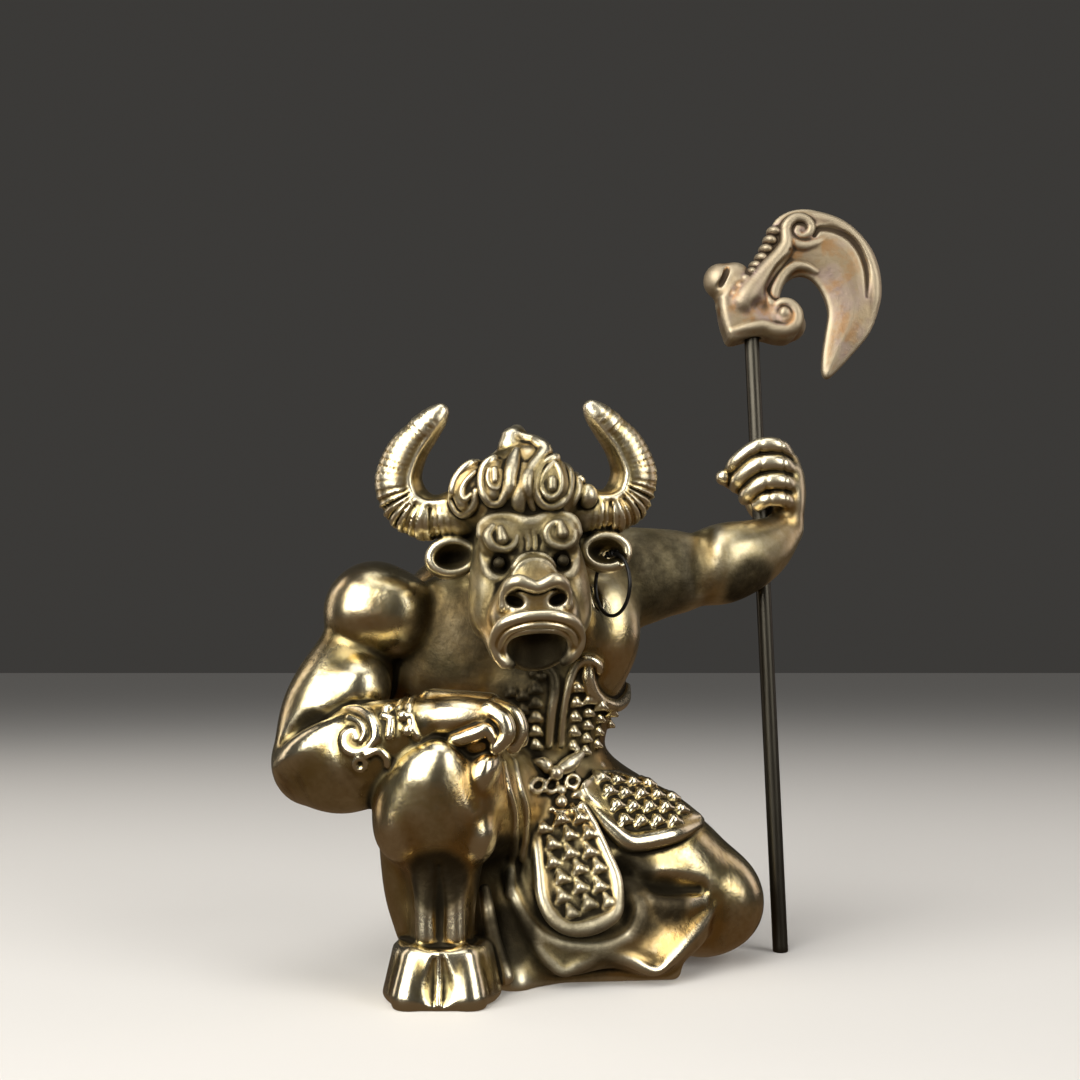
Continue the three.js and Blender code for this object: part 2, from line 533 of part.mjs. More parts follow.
function hair(c) {
  const f = HEAD;
  const curls = [[-6.8, 7.6, 1.75, 3.4, 0.9], [-3.9, 8.3, 1.85, 3.9, 0.8],
    [2.3, 7.3, 2.25, 3.5, 1.2], [5.7, 7.9, 1.2, 3.2, 0.5]];
  for (const [x, z, half, tall, lean] of curls) {
    const spine = [[x + lean * 0.5, z + tall * 0.5], [x - lean * 0.1, z - tall * 0.1],
      [x - lean * 0.4, z - tall * 0.45]];
    const radii = [half * 0.45, half * 0.8, half * 0.85];
    c.draw(atDepth(spine, -16), radii, FRONT, { frame: f, sink: 0.5, blend: 0.4 });
    const edge = atDepth(drop([x, z], half * 0.94, tall * 0.94, lean), -16);
    c.draw(edge, 0.62, FRONT, { frame: f, sink: 0.05, blend: 0.15, closed: true });
  }
  const locks = [[[-0.5, 14.0], [-1.6, 11.9], [-1.9, 8.6], [-1.2, 6.0], [-0.9, 4.3]],
    [[0.0, 13.6], [-0.5, 11.4], [-0.5, 8.6], [-0.2, 6.0], [-0.5, 4.2]],
    [[0.3, 13.9], [1.6, 12.4], [1.2, 10.2], [0.4, 7.8], [0.6, 3.9]]];
  for (const lock of locks) {
    c.draw(atDepth(lock, -16), [0.6, 0.8, 0.75, 0.7, 0.45], FRONT, { frame: f, sink: 0.25, blend: 0.2 });
  }
  c.add(ball([7.4, -2.6, 6.3], [1.3, 1.4, 1.5], [0, 0, 0], f), 0.3);
  c.add(ball([0, 3.5, 6.0], [6.4, 5.0, 6.0], [0, 0, 0], f), 1);
  for (let n = 0; n < 7; n += 1) {
    const a = (n - 3) / 3;
    const sway = 0.6 * Math.sin(n * 2);
    c.add(limb([[a, 0, 13.2], [a * 3, 3, 11.2], [a * 5.4, 6.6, 7.6], [a * 5.8 + sway, 8.6, 3.4],
      [a * 5 - sway, 10.6, -1.2], [a * 3.2 + sway, 13, -5.5], [a, 15.2, -8.8]],
    [0.6, 1.1, 1.25, 1.25, 1.2, 1, 0.5], 4, f), 0.22);
  }
}

function restingHand(c) {
  c.add(slab([-9.2, -8.0, 32.9], [4.8, 4.2, 1.6], [0, 4, 0], 1.2), 0.5);
  c.add(limb([[-13.2, -11.8, 30.9], [-9.4, -12.6, 31.3], [-6.4, -13.0, 31.2]], [2.2, 2.35, 2.1], 4), 0.3);
  c.add(ball([-7.2, -12.2, 29.4], [3.4, 2.6, 2.6]), 0.4);
  c.add(limb([[-5.6, -14.0, 32.2], [-4.1, -14.7, 31.2], [-3.7, -14.8, 29.6], [-4.8, -14.8, 28.2]],
    [0.95, 0.95, 0.85, 0.7], 4), 0.15);
  c.add(limb([[-5.0, -12.2, 32.6], [-3.0, -12.9, 31.7], [-2.3, -12.9, 29.9], [-3.0, -13.0, 28.2]],
    [1.0, 1.0, 0.95, 0.8], 4), 0.15);
  c.add(limb([[-4.6, -10.4, 32.4], [-2.6, -11.0, 31.0], [-2.2, -11.0, 28.8]], [1.0, 1.0, 0.9], 4), 0.15);
  c.carve(limb([[-7.4, -15.6, 30.6], [-5.6, -16.0, 30.4]], [0.7, 0.75]), 0.2);
  c.add(limb([[-9.4, -14.0, 28.9], [-7.4, -14.9, 29.6], [-5.9, -15.1, 30.1], [-5.2, -15.1, 29.2]],
    [0.8, 0.75, 0.65, 0.5], 4), 0.15);
}

// Sleeve of the near forearm with a raised scroll and two cuff rings.
function bracer(c) {
  c.add(limb([[-20.6, -8.0, 27.2], [-17.5, -9.6, 28.6], [-14.0, -11.3, 30.2]], [5.5, 4.7, 3.3], 4), 0.4);
  const scroll = [[-22.6, 32.2], [-21.0, 32.3], [-19.5, 31.8], [-18.5, 30.7], [-18.2, 29.3],
    [-19.1, 28.0], [-20.5, 27.5], [-21.7, 28.2], [-21.8, 29.4], [-20.9, 29.9]];
  c.draw(atDepth(scroll, -22), 0.5, FRONT, { blend: 0.12 });
  for (const [x, z] of [[-17.0, 32.3], [-15.2, 31.6], [-14.6, 30.0]]) {
    c.add(ball(c.land([x, -22, z], FRONT, 0), [0.7, 0.7, 0.7]), 0.15);
  }
  const cuff = makeFrame([-13.2, -11.6, 30.6], [0, -20, -20]);
  for (const [x, radius] of [[0, 3.0], [-1.2, 3.3]]) {
    const loop = ring([0, 0], radius, radius, 16).map(([y, z]) => [x, y, z]);
    c.add(limb([...loop, loop[0]], 0.5, 0, cuff), 0.15);
  }
}

function staffHand(c) {
  const fingers = [
    [1.08, [34.7, 15.2, 64.9], [32.4, 12.0, 66.4], [29.4, 11.7, 66.4], [26.8, 12.6, 64.6],
      [26.2, 13.9, 63.5]],
    [1.16, [35.2, 15.0, 62.8], [32.6, 11.8, 64.0], [29.4, 11.5, 63.9], [27.2, 12.7, 62.2],
      [26.9, 14.0, 61.4]],
    [1.12, [35.3, 15.0, 60.5], [32.8, 11.8, 61.6], [30.1, 11.5, 61.5], [28.3, 12.5, 60.2],
      [28.0, 13.6, 59.7]],
    [1.0, [34.9, 15.0, 58.3], [32.8, 12.0, 59.3], [30.6, 11.7, 59.2], [29.5, 12.5, 58.6]],
  ];
  for (const [radius, ...joints] of fingers) c.add(limb(joints, radius, 5), 0.16);
  c.add(limb([[32, 17.4, 59.4], [28, 17.2, 61.6], [24.9, 14.3, 62.6]], [1.7, 1.25, 1.0], 5), 0.25);
}

// Hem, U-shaped fold under the oval tasset and the fold that meets the knee.
function apronFolds(c) {
  const hem = [[-3.4, -4.2, 14.0], [-2.0, -5.2, 9.0], [-0.6, -5.6, 5.9], [1.2, -5.9, 3.2], [2.8, -6.0, 2.1],
    [5.0, -5.7, 3.0], [7.2, -5.3, 4.0], [9.8, -5.0, 3.4], [13.2, -4.8, 1.9], [15.6, -3.2, 3.2],
    [17.6, -1.2, 4.9], [19.8, 1.0, 6.8], [21.2, 2.6, 8.4]];
  c.add(limb(hem, 0.72, 4), 0.5);
  const groove = [[-2.9, 14.0], [-2.2, 11.8], [-1.0, 9.4], [1.4, 7.2], [4.6, 6.4], [7.6, 6.5],
    [9.6, 7.4], [10.4, 9.6], [10.0, 12.5]];
  const fold = [[-3.0, 12.4], [-2.0, 9.6], [-0.2, 7.3], [2.3, 6.0], [5.2, 5.4], [7.9, 5.5],
    [10.2, 6.4], [11.3, 8.2], [11.0, 10.0]];
  const foldRadii = [0.4, 0.5, 0.6, 0.7, 0.75, 0.8, 0.8, 0.7, 0.4];
  c.draw(atDepth(fold, -14), foldRadii, FRONT, { sink: 0.25, blend: 0.9 });
  c.draw(atDepth(groove, -14), 0.6, FRONT, { blend: 0.8, cut: true });
  const shadow = [[9.8, 13.6], [12.2, 11.4], [15.6, 10.6], [19.2, 10.2]];
  c.draw(atDepth(shadow, -14), [0.7, 1.0, 1.1, 0.5], FRONT, { blend: 1.2, cut: true });
  const lap = [[10.4, 11.2], [13.4, 9.3], [16.6, 8.6], [19.4, 8.7]];
  c.draw(atDepth(lap, -14), [0.4, 0.6, 0.7, 0.3], FRONT, { sink: 0.35, blend: 1.0 });
  const border = [[-4.2, 26.0], [-3.6, 23.1], [-2.9, 20.1], [-3.0, 17.0], [-3.3, 13.6], [-3.6, 10.6]];
  c.draw(atDepth(border, -20), [0.4, 0.5, 0.55, 0.55, 0.5, 0.4], FRONT, { sink: 0.1, blend: 0.25 });
}

// Hooked lapels, the rim of the breast armour, the belt knot and its beads.
function chestArmour(c) {
  const near = [[-0.9, 36.2], [-0.6, 37.1], [0.6, 37.0], [1.6, 36.0], [1.8, 34.2], [1.4, 31.3], [1.1, 27.6]];
  c.draw(atDepth(near, -6), 0.6, FRONT, { blend: 0.2 });
  const off = [[7.2, 36.6], [6.9, 37.5], [5.6, 37.9], [4.4, 37.0], [3.7, 35.4], [3.2, 33.5], [2.8, 31.0],
    [2.6, 27.6]];
  c.draw(atDepth(off, -6), [0.5, 0.6, 0.65, 0.55, 0.5, 0.45, 0.45, 0.45], FRONT, { blend: 0.2 });
  c.add(limb([[5.9, -1.2, 37.2], [5.9, -1.0, 35.6], [6.3, -0.3, 34.1], [7.4, 1.0, 32.9], [9.2, 3.6, 32.3],
    [10.6, 6.4, 33.0], [11.2, 8.6, 34.6]], [0.7, 0.85, 0.95, 0.95, 0.95, 0.9, 0.5], 4), 0.25);
  c.add(limb([[-1.6, -0.9, 24.9], [0.9, -1.4, 25.5], [0.5, -1.6, 24.6]], [0.4, 0.75, 0.6], 3), 0.3);
  c.add(limb([[2.3, -1.4, 24.6], [3.6, -0.6, 25.2], [4.9, 0.2, 26.3]], [0.6, 0.85, 0.45], 3), 0.3);
  for (const [z, radius] of [[24.2, 0.75], [22.3, 0.75], [21.0, 0.85], [19.6, 0.75]]) {
    c.add(ball(c.land([2.5, -9, z], FRONT, 0), [radius, radius, radius]), 0.15);
  }
}

function tassets(c) {
  const half = [[-2.9, 6.6], [-3.7, 4.0], [-4.3, 0.5], [-4.75, -2.4], [-4.3, -4.7], [-3.0, -6.3],
    [-1.2, -7.0], [0.9, -7.0], [2.8, -6.3], [4.1, -4.7], [4.6, -2.4], [4.3, 0.5], [3.8, 4.0], [3.1, 6.8]];
  c.add(plate(curve(half, 2), 1.0, 1.5, 0.3, TASSET), 0.3);
  c.add(limb(half.map(([x, z]) => [x, -0.55, z]), 0.68, 3, TASSET), 0.15);
  const outline = [[-7.9, 1.5], [-4.8, 4.1], [-1.6, 4.6], [2.0, 3.5], [5.3, 1.7], [8.8, -1.5],
    [3.9, -4.0], [-0.1, -4.4], [-2.7, -4.6], [-4.8, -2.7], [-7.5, 0.3]];
  c.coat(outline, -9, 6, 0.95, 0.3, THIGH);
  c.add(limb([[4.7, -1.3, 21.9], [6.4, -1.7, 19.8], [8.4, -2.0, 17.9], [10.5, -2.0, 16.3], [12.9, -1.0, 16.3],
    [16.4, 0.6, 16.9], [19.2, 3.9, 17.6], [20.2, 5.6, 18.0]],
  [0.5, 0.7, 0.8, 0.9, 0.95, 0.9, 0.7, 0.45], 4), 0.25);
}

function back(c) {
  const spine = [[-2.0, 46.0], [-1.4, 40], [-0.4, 34], [0.6, 28]];
  c.draw(atDepth(spine, 36), [0.6, 0.9, 0.9, 0.7], REAR, { blend: 1.2, cut: true });
  for (const [s, x] of [[-1, -9.5], [1, 6.2]]) {
    const blade = [[x - s * 2.5, 46.5], [x + s, 42.0], [x, 37.5]];
    c.draw(atDepth(blade, 36), [0.5, 0.7, 0.4], REAR, { blend: 1, cut: true });
  }
  const band = [];
  for (let n = 0; n < 15; n += 1) {
    const a = -2 + (4 * n) / 14;
    band.push([0.9 + 7 * Math.sin(a), 7.2 + 7 * Math.cos(a), 24.2 - 0.8 * Math.cos(a)]);
  }
  c.add(limb(band, 0.95, 2), 0.2);
  for (const [x, z] of [[-8.0, 2.0], [-3.6, 1.6], [1.4, 1.4], [6.4, 1.6], [11.0, 2.4]]) {
    const fold = [0.12, 0.4, 0.7, 1].map((t) => [1.2 + (x - 1.2) * t, 22.5 - (22.5 - z) * t]);
    c.draw(atDepth(fold, 37), [0.3, 0.5, 0.7, 0.8], REAR, { blend: 0.8, cut: true });
  }
}

// Points of the ear ring: a circle turned about the upright axis.
function earRing() {
  const a = (EAR_RING_TURN * Math.PI) / 180;
  const list = [];
  for (let n = 0; n < EAR_RING_PIECES; n += 1) {
    const t = (2 * Math.PI * n) / EAR_RING_PIECES;
    list.push(along(EAR_RING_MIDDLE, [Math.cos(t) * Math.cos(a), Math.cos(t) * Math.sin(a), Math.sin(t)],
      EAR_RING_RADIUS));
  }
  return list;
}

function figureClay() {
  const c = new Clay([-34, -20, -1.3], [39, 37, 71], FIGURE_GRID);
  torso(c);
  cloth(c);
  kneelingLeg(c);
  standingLeg(c);
  restingArm(c);
  staffArm(c);
  headMass(c);
  c.soften();
  hooves(c);
  horns(c);
  ears(c);
  face(c);
  hair(c);
  restingHand(c);
  bracer(c);
  staffHand(c);
  apronFolds(c);
  chestArmour(c);
  tassets(c);
  back(c);
  const floor = { low: [-60, -60, -2], high: [60, 60, 2], distance: (x, y, z) => z };
  c.work(floor, 0, (old, gap) => Math.max(old, -gap));
  c.carve(limb([ROD_FOOT, ROD_TOP], ROD_RADIUS + GAP), 0.1);
  const wire = earRing();
  c.carve(limb([...wire, wire[0]], EAR_WIRE_RADIUS + GAP), 0.1);
  return c;
}

// Head of the pole arm: a swelling crescent, the block that takes the rod, a neck,
// two scrolls, a curled leaf and a twisted cord. Outlines are [x, z] pairs.
function bladeClay() {
  const y = BLADE_MIDDLE;
  const c = new Clay([22.0, y - 4.2, 75.2], [48.0, y + 4.2, 101.0], BLADE_GRID);
  const both = (points, radii, out, blend, cut = false) => {
    for (const s of [-1, 1]) {
      const shape = limb(points.map(([a, b]) => [a, y + s * out, b]), radii, 5);
      if (cut) c.carve(shape, blend);
      else c.add(shape, blend);
    }
  };
  const closed = (points) => curve([...points, points[0]], 3).slice(0, -1);
  const crescent = [[31.6, 95.6], [31.8, 97.2], [32.6, 98.6], [34.2, 99.6], [36.2, 100.0], [38.4, 99.7],
    [41.5, 98.5], [44.2, 96.3], [46.0, 93.6], [46.8, 90.2], [46.6, 86.6], [45.2, 82.7], [42.9, 79.8],
    [40.4, 77.1], [39.2, 76.2], [38.5, 77.0], [38.6, 79.8], [39.1, 82.8], [39.5, 85.4], [38.8, 88.0],
    [37.4, 90.0], [35.8, 90.6], [34.2, 90.0], [32.8, 88.5], [31.9, 86.6], [30.0, 86.0], [28.6, 87.6],
    [29.4, 91.4], [30.9, 94.0]];
  c.add(lens(closed(crescent), y, BLADE_RIM, BLADE_CROWN, 3.4));
  const block = [[24.3, 87.2], [24.6, 84.6], [25.1, 82.7], [25.9, 81.1], [28.4, 81.6], [30.3, 81.8],
    [32.3, 81.3], [34.2, 81.4], [35.2, 83.2], [33.0, 86.2], [31.6, 87.0], [30.6, 88.4], [28.6, 90.0],
    [26.4, 90.0]];
  c.add(plate(closed(block), y, BLOCK_HALF, 0.9), 0.3);
  both([[37.0, 98.9], [39.2, 98.5], [41.4, 97.5], [43.2, 95.9], [44.6, 93.9], [45.5, 91.6], [45.9, 89.2],
    [45.8, 87.0], [45.2, 84.6]], [0.6, 0.85, 0.95, 1.0, 1.0, 0.95, 0.9, 0.8, 0.4], 0.35, 0.3);
  both([[27.6, 86.0], [28.3, 87.0], [29.6, 89.2], [31.2, 91.2], [32.7, 92.9], [33.7, 94.4]],
    [1.7, 1.9, 1.6, 1.35, 1.2, 0.9], 1.3, 0.35);
  both([[31.9, 86.9], [32.2, 88.6], [33.3, 90.6], [34.8, 91.7], [36.4, 91.7], [37.8, 91.0]],
    [0.8, 0.9, 0.85, 0.75, 0.6, 0.3], 0.8, 0.3);
  both([[38.6, 95.2], [37.4, 94.5], [36.0, 94.2], [34.6, 94.5], [33.6, 95.4], [33.2, 96.7], [33.7, 98.1],
    [35.0, 98.8], [36.4, 98.5], [37.2, 97.4], [37.0, 96.2], [36.2, 95.6]],
  [0.25, 0.6, 0.85, 0.95, 1.0, 1.0, 1.0, 0.95, 0.9, 0.8, 0.65, 0.4], 1.2, 0.15);
  c.add(limb([[33.6, y - 0.5, 84.2], [34.4, y + 1.2, 84.0]], 2.25), 0.3);
  both([[26.0, 82.3], [28.4, 82.9], [30.4, 83.1], [32.0, 82.6], [33.5, 82.6], [34.6, 83.4], [34.8, 84.8],
    [34.0, 86.0], [32.8, 86.3], [31.9, 85.6]],
  [0.5, 0.8, 0.85, 0.9, 0.95, 1.0, 0.95, 0.85, 0.75, 0.45], 2.1, 0.12);
  for (const s of [-1, 1]) {
    c.add(ball([35.4, y + s * 1.55, 96.7], [0.95, 0.8, 0.95]), 0.1);
    c.add(ball([33.1, y + s * 2.7, 85.0], [0.95, 0.8, 0.95]), 0.1);
    c.carve(ball([29.4, y + s * 3.0, 85.0], [2.4, 0.9, 0.7], [0, 8, 0]), 0.4);
  }
  c.add(limb([[25.6, y, 86.4], [26.3, y, 88.6], [26.9, y, 90.4]], [1.5, 1.9, 1.5], 5), 0.3);
  c.add(ball([24.8, y, 90.6], [1.65, 2.1, 1.9]), 0.25);
  c.add(ball([26.6, y, 91.0], [1.9, 2.0, 1.5]), 0.25);
  both([[25.4, 92.0], [25.3, 91.0], [24.9, 89.7], [24.3, 88.7], [23.6, 88.2]], [0.3, 0.4, 0.42, 0.4, 0.3],
    2.0, 0.15, true);
  const cord = curve([[25.7, 86.9], [27.2, 89.3], [29.0, 91.3], [30.6, 93.2], [31.7, 95.2], [32.4, 97.0]], 2);
  cord.forEach(([a, b], n) => {
    const near = n < 5;
    c.add(ball([a, y, b], [near ? 0.72 : 1.0, near ? 1.9 : 1.45, 0.7], [0, -4, 0]), 0.05);
  });
  c.carve(limb([ROD_FOOT, ROD_TOP], ROD_RADIUS + GAP), 0.1);
  return c;
}

// Closes every cell whose inside corners or outside corners are not one group.
function settle(c) {
  const { size, field } = c;
  const steps = [];
  for (let n = 0; n < 8; n += 1) steps.push([n & 1, (n >> 1) & 1, (n >> 2) & 1]);
  const offsets = steps.map(([i, j, k]) => c.at(i, j, k));
  const faces = [[0, 1, 3, 2], [4, 5, 7, 6], [0, 1, 5, 4], [2, 3, 7, 6], [0, 2, 6, 4], [1, 3, 7, 5]];
  const single = new Uint8Array(256);
  for (let mask = 0; mask < 256; mask += 1) {
    const whole = (wanted) => {
      const members = steps.map((_, n) => n).filter((n) => ((mask >> n) & 1) === wanted);
      if (members.length === 0) return true;
      const seen = new Set([members[0]]);
      for (const n of seen) {
        for (const bit of [1, 2, 4]) if (members.includes(n ^ bit)) seen.add(n ^ bit);
      }
      return seen.size === members.length;
    };
    const checker = faces.some((f) => {
      const v = f.map((n) => (mask >> n) & 1);
      return v[0] === v[2] && v[1] === v[3] && v[0] !== v[1];
    });
    single[mask] = whole(1) && whole(0) && !checker ? 1 : 0;
  }
  let changed = true;
  while (changed) {
    changed = false;
    for (let i = 0; i + 1 < size[0]; i += 1) {
      for (let j = 0; j + 1 < size[1]; j += 1) {
        for (let k = 0; k + 1 < size[2]; k += 1) {
          const base = c.at(i, j, k);
          let mask = 0;
          for (let n = 0; n < 8; n += 1) if (field[base + offsets[n]] < 0) mask |= 1 << n;
          if (single[mask]) continue;
          let pick = -1;
          for (let n = 0; n < 8; n += 1) {
            const value = field[base + offsets[n]];
            if (value >= 0 && (pick < 0 || value < field[base + offsets[pick]])) pick = n;
          }
          field[base + offsets[pick]] = -0.02 * c.step;
          changed = true;
        }
      }
    }
  }
}

// Surface nets: one vertex per mixed cell, one quad per crossed grid edge.
function surface(c) {
  settle(c);
  const { size, field, low, step } = c;
  const vertex = new Int32Array(field.length).fill(-1);
  const points = [];
  const pairs = [];
  for (let n = 0; n < 8; n += 1) {
    for (const bit of [1, 2, 4]) if (!(n & bit)) pairs.push([n, n | bit]);
  }
  for (let i = 0; i + 1 < size[0]; i += 1) {
    for (let j = 0; j + 1 < size[1]; j += 1) {
      for (let k = 0; k + 1 < size[2]; k += 1) {
        const value = [];
        for (let n = 0; n < 8; n += 1) {
          value.push(field[c.at(i + (n & 1), j + ((n >> 1) & 1), k + (n >> 2))]);
        }
        const sum = [0, 0, 0];
        let count = 0;
        for (const [a, b] of pairs) {
          if (value[a] < 0 === value[b] < 0) continue;
          const t = value[a] / (value[a] - value[b]);
          for (let axis = 0; axis < 3; axis += 1) {
            const from = (a >> axis) & 1;
            sum[axis] += from + (((b >> axis) & 1) - from) * t;
          }
          count += 1;
        }
        if (count === 0) continue;
        vertex[c.at(i, j, k)] = points.length;
        points.push([i, j, k].map((v, axis) => low[axis] + (v + sum[axis] / count) * step));
      }
    }
  }
  const triangles = [];
  const units = [[1, 0, 0], [0, 1, 0], [0, 0, 1]];
  for (let i = 1; i + 1 < size[0]; i += 1) {
    for (let j = 1; j + 1 < size[1]; j += 1) {
      for (let k = 1; k + 1 < size[2]; k += 1) {
        for (let axis = 0; axis < 3; axis += 1) {
          const next = [i, j, k].map((v, n) => v + units[axis][n]);
          const a = field[c.at(i, j, k)] < 0;
          if (a === field[c.at(...next)] < 0) continue;
          const u = units[(axis + 1) % 3];
          const v = units[(axis + 2) % 3];
          const cell = (p, q) => vertex[c.at(i - p * u[0] - q * v[0], j - p * u[1] - q * v[1],
            k - p * u[2] - q * v[2])];
          const quad = [cell(0, 0), cell(1, 0), cell(1, 1), cell(0, 1)];
          if (!a) quad.reverse();
          const across = (m, n) => Math.hypot(...minus(points[quad[m]], points[quad[n]]));
          if (across(0, 2) <= across(1, 3)) {
            triangles.push([quad[0], quad[1], quad[2]], [quad[0], quad[2], quad[3]]);
          } else {
            triangles.push([quad[1], quad[2], quad[3]], [quad[1], quad[3], quad[0]]);
          }
        }
      }
    }
  }
  return { points, triangles };
}

function cross(a, b) {
  return [a[1] * b[2] - a[2] * b[1], a[2] * b[0] - a[0] * b[2], a[0] * b[1] - a[1] * b[0]];
}

// Edge collapse by quadric error, keeping the surface closed and unfolded.
function simplify({ points, triangles }, target) {
  const faces = triangles.map((t) => [...t]);
  const around = points.map(() => new Set());
  const quadric = points.map(() => new Float64Array(10));
  faces.forEach((t, n) => t.forEach((v) => around[v].add(n)));
  const normalOf = (a, b, c) => cross(minus(b, a), minus(c, a));
  for (const t of faces) {
    const [a, b, c] = t.map((v) => points[v]);
    const normal = normalOf(a, b, c);
    const area = Math.hypot(...normal) + 1e-12;
    const [x, y, z] = normal.map((v) => v / area);
    const w = -(x * a[0] + y * a[1] + z * a[2]);
    const plane = [x * x, x * y, x * z, x * w, y * y, y * z, y * w, z * z, z * w, w * w];
    for (const v of t) for (let n = 0; n < 10; n += 1) quadric[v][n] += plane[n] * area;
  }
  const error = (q, [x, y, z]) => q[0] * x * x + 2 * q[1] * x * y + 2 * q[2] * x * z + 2 * q[3] * x
    + q[4] * y * y + 2 * q[5] * y * z + 2 * q[6] * y + q[7] * z * z + 2 * q[8] * z + q[9];
  const solve = (q, fallback) => {
    const m = new THREE.Matrix3().set(q[0], q[1], q[2], q[1], q[4], q[5], q[2], q[5], q[7]);
    const size = q[0] + q[4] + q[7];
    if (Math.abs(m.determinant()) < 1e-4 * size ** 3) return fallback;
    const p = new THREE.Vector3(-q[3], -q[6], -q[8]).applyMatrix3(m.invert()).toArray();
    return Math.hypot(...minus(p, fallback)) < FARTHEST_MOVE ? p : fallback;
  };
  const stamp = new Int32Array(points.length);
  const heap = [];
  const swap = (i, j) => {
    const item = heap[i];
    heap[i] = heap[j];
    heap[j] = item;
  };
  const push = (item) => {
    heap.push(item);
    let i = heap.length - 1;
    while (i > 0 && heap[(i - 1) >> 1].cost > heap[i].cost) {
      swap(i, (i - 1) >> 1);
      i = (i - 1) >> 1;
    }
  };
  const pop = () => {
    const top = heap[0];
    const last = heap.pop();
    if (heap.length > 0) {
      heap[0] = last;
      let i = 0;
      for (;;) {
        let best = i;
        for (const child of [2 * i + 1, 2 * i + 2]) {
          if (child < heap.length && heap[child].cost < heap[best].cost) best = child;
        }
        if (best === i) break;
        swap(i, best);
        i = best;
      }
    }
    return top;
  };
  const propose = (u, v) => {
    const q = quadric[u].map((value, n) => value + quadric[v][n]);
    const middle = mix(points[u], points[v], 0.5);
    const grounded = points[u][2] === 0 || points[v][2] === 0;
    const choices = [solve(q, middle), middle, points[u], points[v]]
      .map(([x, y, z]) => [x, y, grounded ? 0 : Math.max(z, 0)]);
    let best = choices[0];
    for (const p of choices) if (error(q, p) < error(q, best)) best = p;
    const length = Math.hypot(...minus(points[u], points[v]));
    push({ cost: Math.max(error(q, best), 0) + 1e-6 * length, u, v, at: best, su: stamp[u], sv: stamp[v] });
  };
  const neighbours = (v) => {
    const set = new Set();
    for (const n of around[v]) for (const w of faces[n]) if (w !== v) set.add(w);
    return set;
  };
  faces.forEach(([a, b, c]) => {
    if (a < b) propose(a, b);
    if (b < c) propose(b, c);
    if (c < a) propose(c, a);
  });
  const folds = (v, other, spot) => {
    for (const n of around[v]) {
      if (faces[n].includes(other)) continue;
      const old = faces[n].map((w) => points[w]);
      const fresh = faces[n].map((w) => (w === v ? spot : points[w]));
      const before = normalOf(...old);
      const after = normalOf(...fresh);
      const size = Math.hypot(...after);
      if (dot(before, after) < LEAST_FACING * Math.hypot(...before) * size) return true;
      const edges = fresh.map((p, i) => Math.hypot(...minus(p, fresh[(i + 1) % 3])));
      if (size < LEAST_BREADTH * Math.max(...edges) ** 2) return true;
    }
    return false;
  };
  let count = faces.length;
  while (count > target && heap.length > 0) {
    const { u, v, at, su, sv } = pop();
    if (stamp[u] !== su || stamp[v] !== sv) continue;
    const near = neighbours(u);
    const far = neighbours(v);
    const shared = [...near].filter((w) => far.has(w));
    if (shared.length !== 2) continue;
    if (folds(u, v, at) || folds(v, u, at)) continue;
    points[u] = at;
    for (const n of around[v]) {
      if (faces[n].includes(u)) {
        for (const w of faces[n]) around[w].delete(n);
        faces[n] = [-1, -1, -1];
        count -= 1;
      } else {
        faces[n] = faces[n].map((w) => (w === v ? u : w));
        around[u].add(n);
      }
    }
    for (let n = 0; n < 10; n += 1) quadric[u][n] += quadric[v][n];
    stamp[u] += 1;
    stamp[v] = -1;
    for (const w of neighbours(u)) propose(u, w);
  }
  const used = new Map();
  const kept = [];
  const rows = faces.filter((t) => t[0] >= 0).map((t) => t.map((v) => {
    if (!used.has(v)) {
      used.set(v, kept.length);
      kept.push(points[v]);
    }
    return used.get(v);
  }));
  return { points: kept, triangles: rows };
}

function snapToFloor(mesh) {
  mesh.points = mesh.points.map(([x, y, z]) => [x, y, z < FLOOR_SNAP ? 0 : z]);
  return mesh;
}

function faceted({ points, triangles }) {
  const geometry = new THREE.BufferGeometry();
  geometry.setAttribute('position', new THREE.BufferAttribute(new Float32Array(points.flat()), 3));
  geometry.setIndex(triangles.flat());
  geometry.computeVertexNormals();
  return geometry;
}

// The rod leans a little, and both of its ends are level.
function rodGeometry() {
  const [dx, dy, height] = minus(ROD_TOP, ROD_FOOT);
  const geometry = new THREE.CylinderGeometry(ROD_RADIUS, ROD_RADIUS, height, ROD_SIDES);
  geometry.rotateX(Math.PI / 2);
  geometry.translate(0, 0, height / 2);
  const lean = new THREE.Matrix4().makeShear(0, 0, 0, 0, dx / height, dy / height);
  geometry.applyMatrix4(lean);
  return geometry;
}

function earRingGeometry() {
  const geometry = new THREE.TorusGeometry(EAR_RING_RADIUS, EAR_WIRE_RADIUS, RING_WIRE_SIDES,
    EAR_RING_PIECES);
  geometry.rotateX(Math.PI / 2);
  geometry.rotateZ((EAR_RING_TURN * Math.PI) / 180);
  return geometry;
}

function metal(color, roughness) {
  return new THREE.MeshStandardMaterial({ color, roughness, metalness: 0.9 });
}

function node(name, geometry, material, place) {
  const mesh = new THREE.Mesh(geometry, material);
  mesh.name = name;
  mesh.position.fromArray(place);
  return mesh;
}

const figure = simplify(snapToFloor(surface(figureClay())), FIGURE_TRIANGLES);
const blade = simplify(surface(bladeClay()), BLADE_TRIANGLES);

const AGED_BRASS = metal(0x8c7440, 0.35);
const DARK_ROD = metal(0x4a463c, 0.4);
const PALE_BRASS = metal(0xb59a72, 0.4);
const BLACK_WIRE = metal(0x171512, 0.5);
const SCULPTING_ORIGIN = [0, 0, 0];

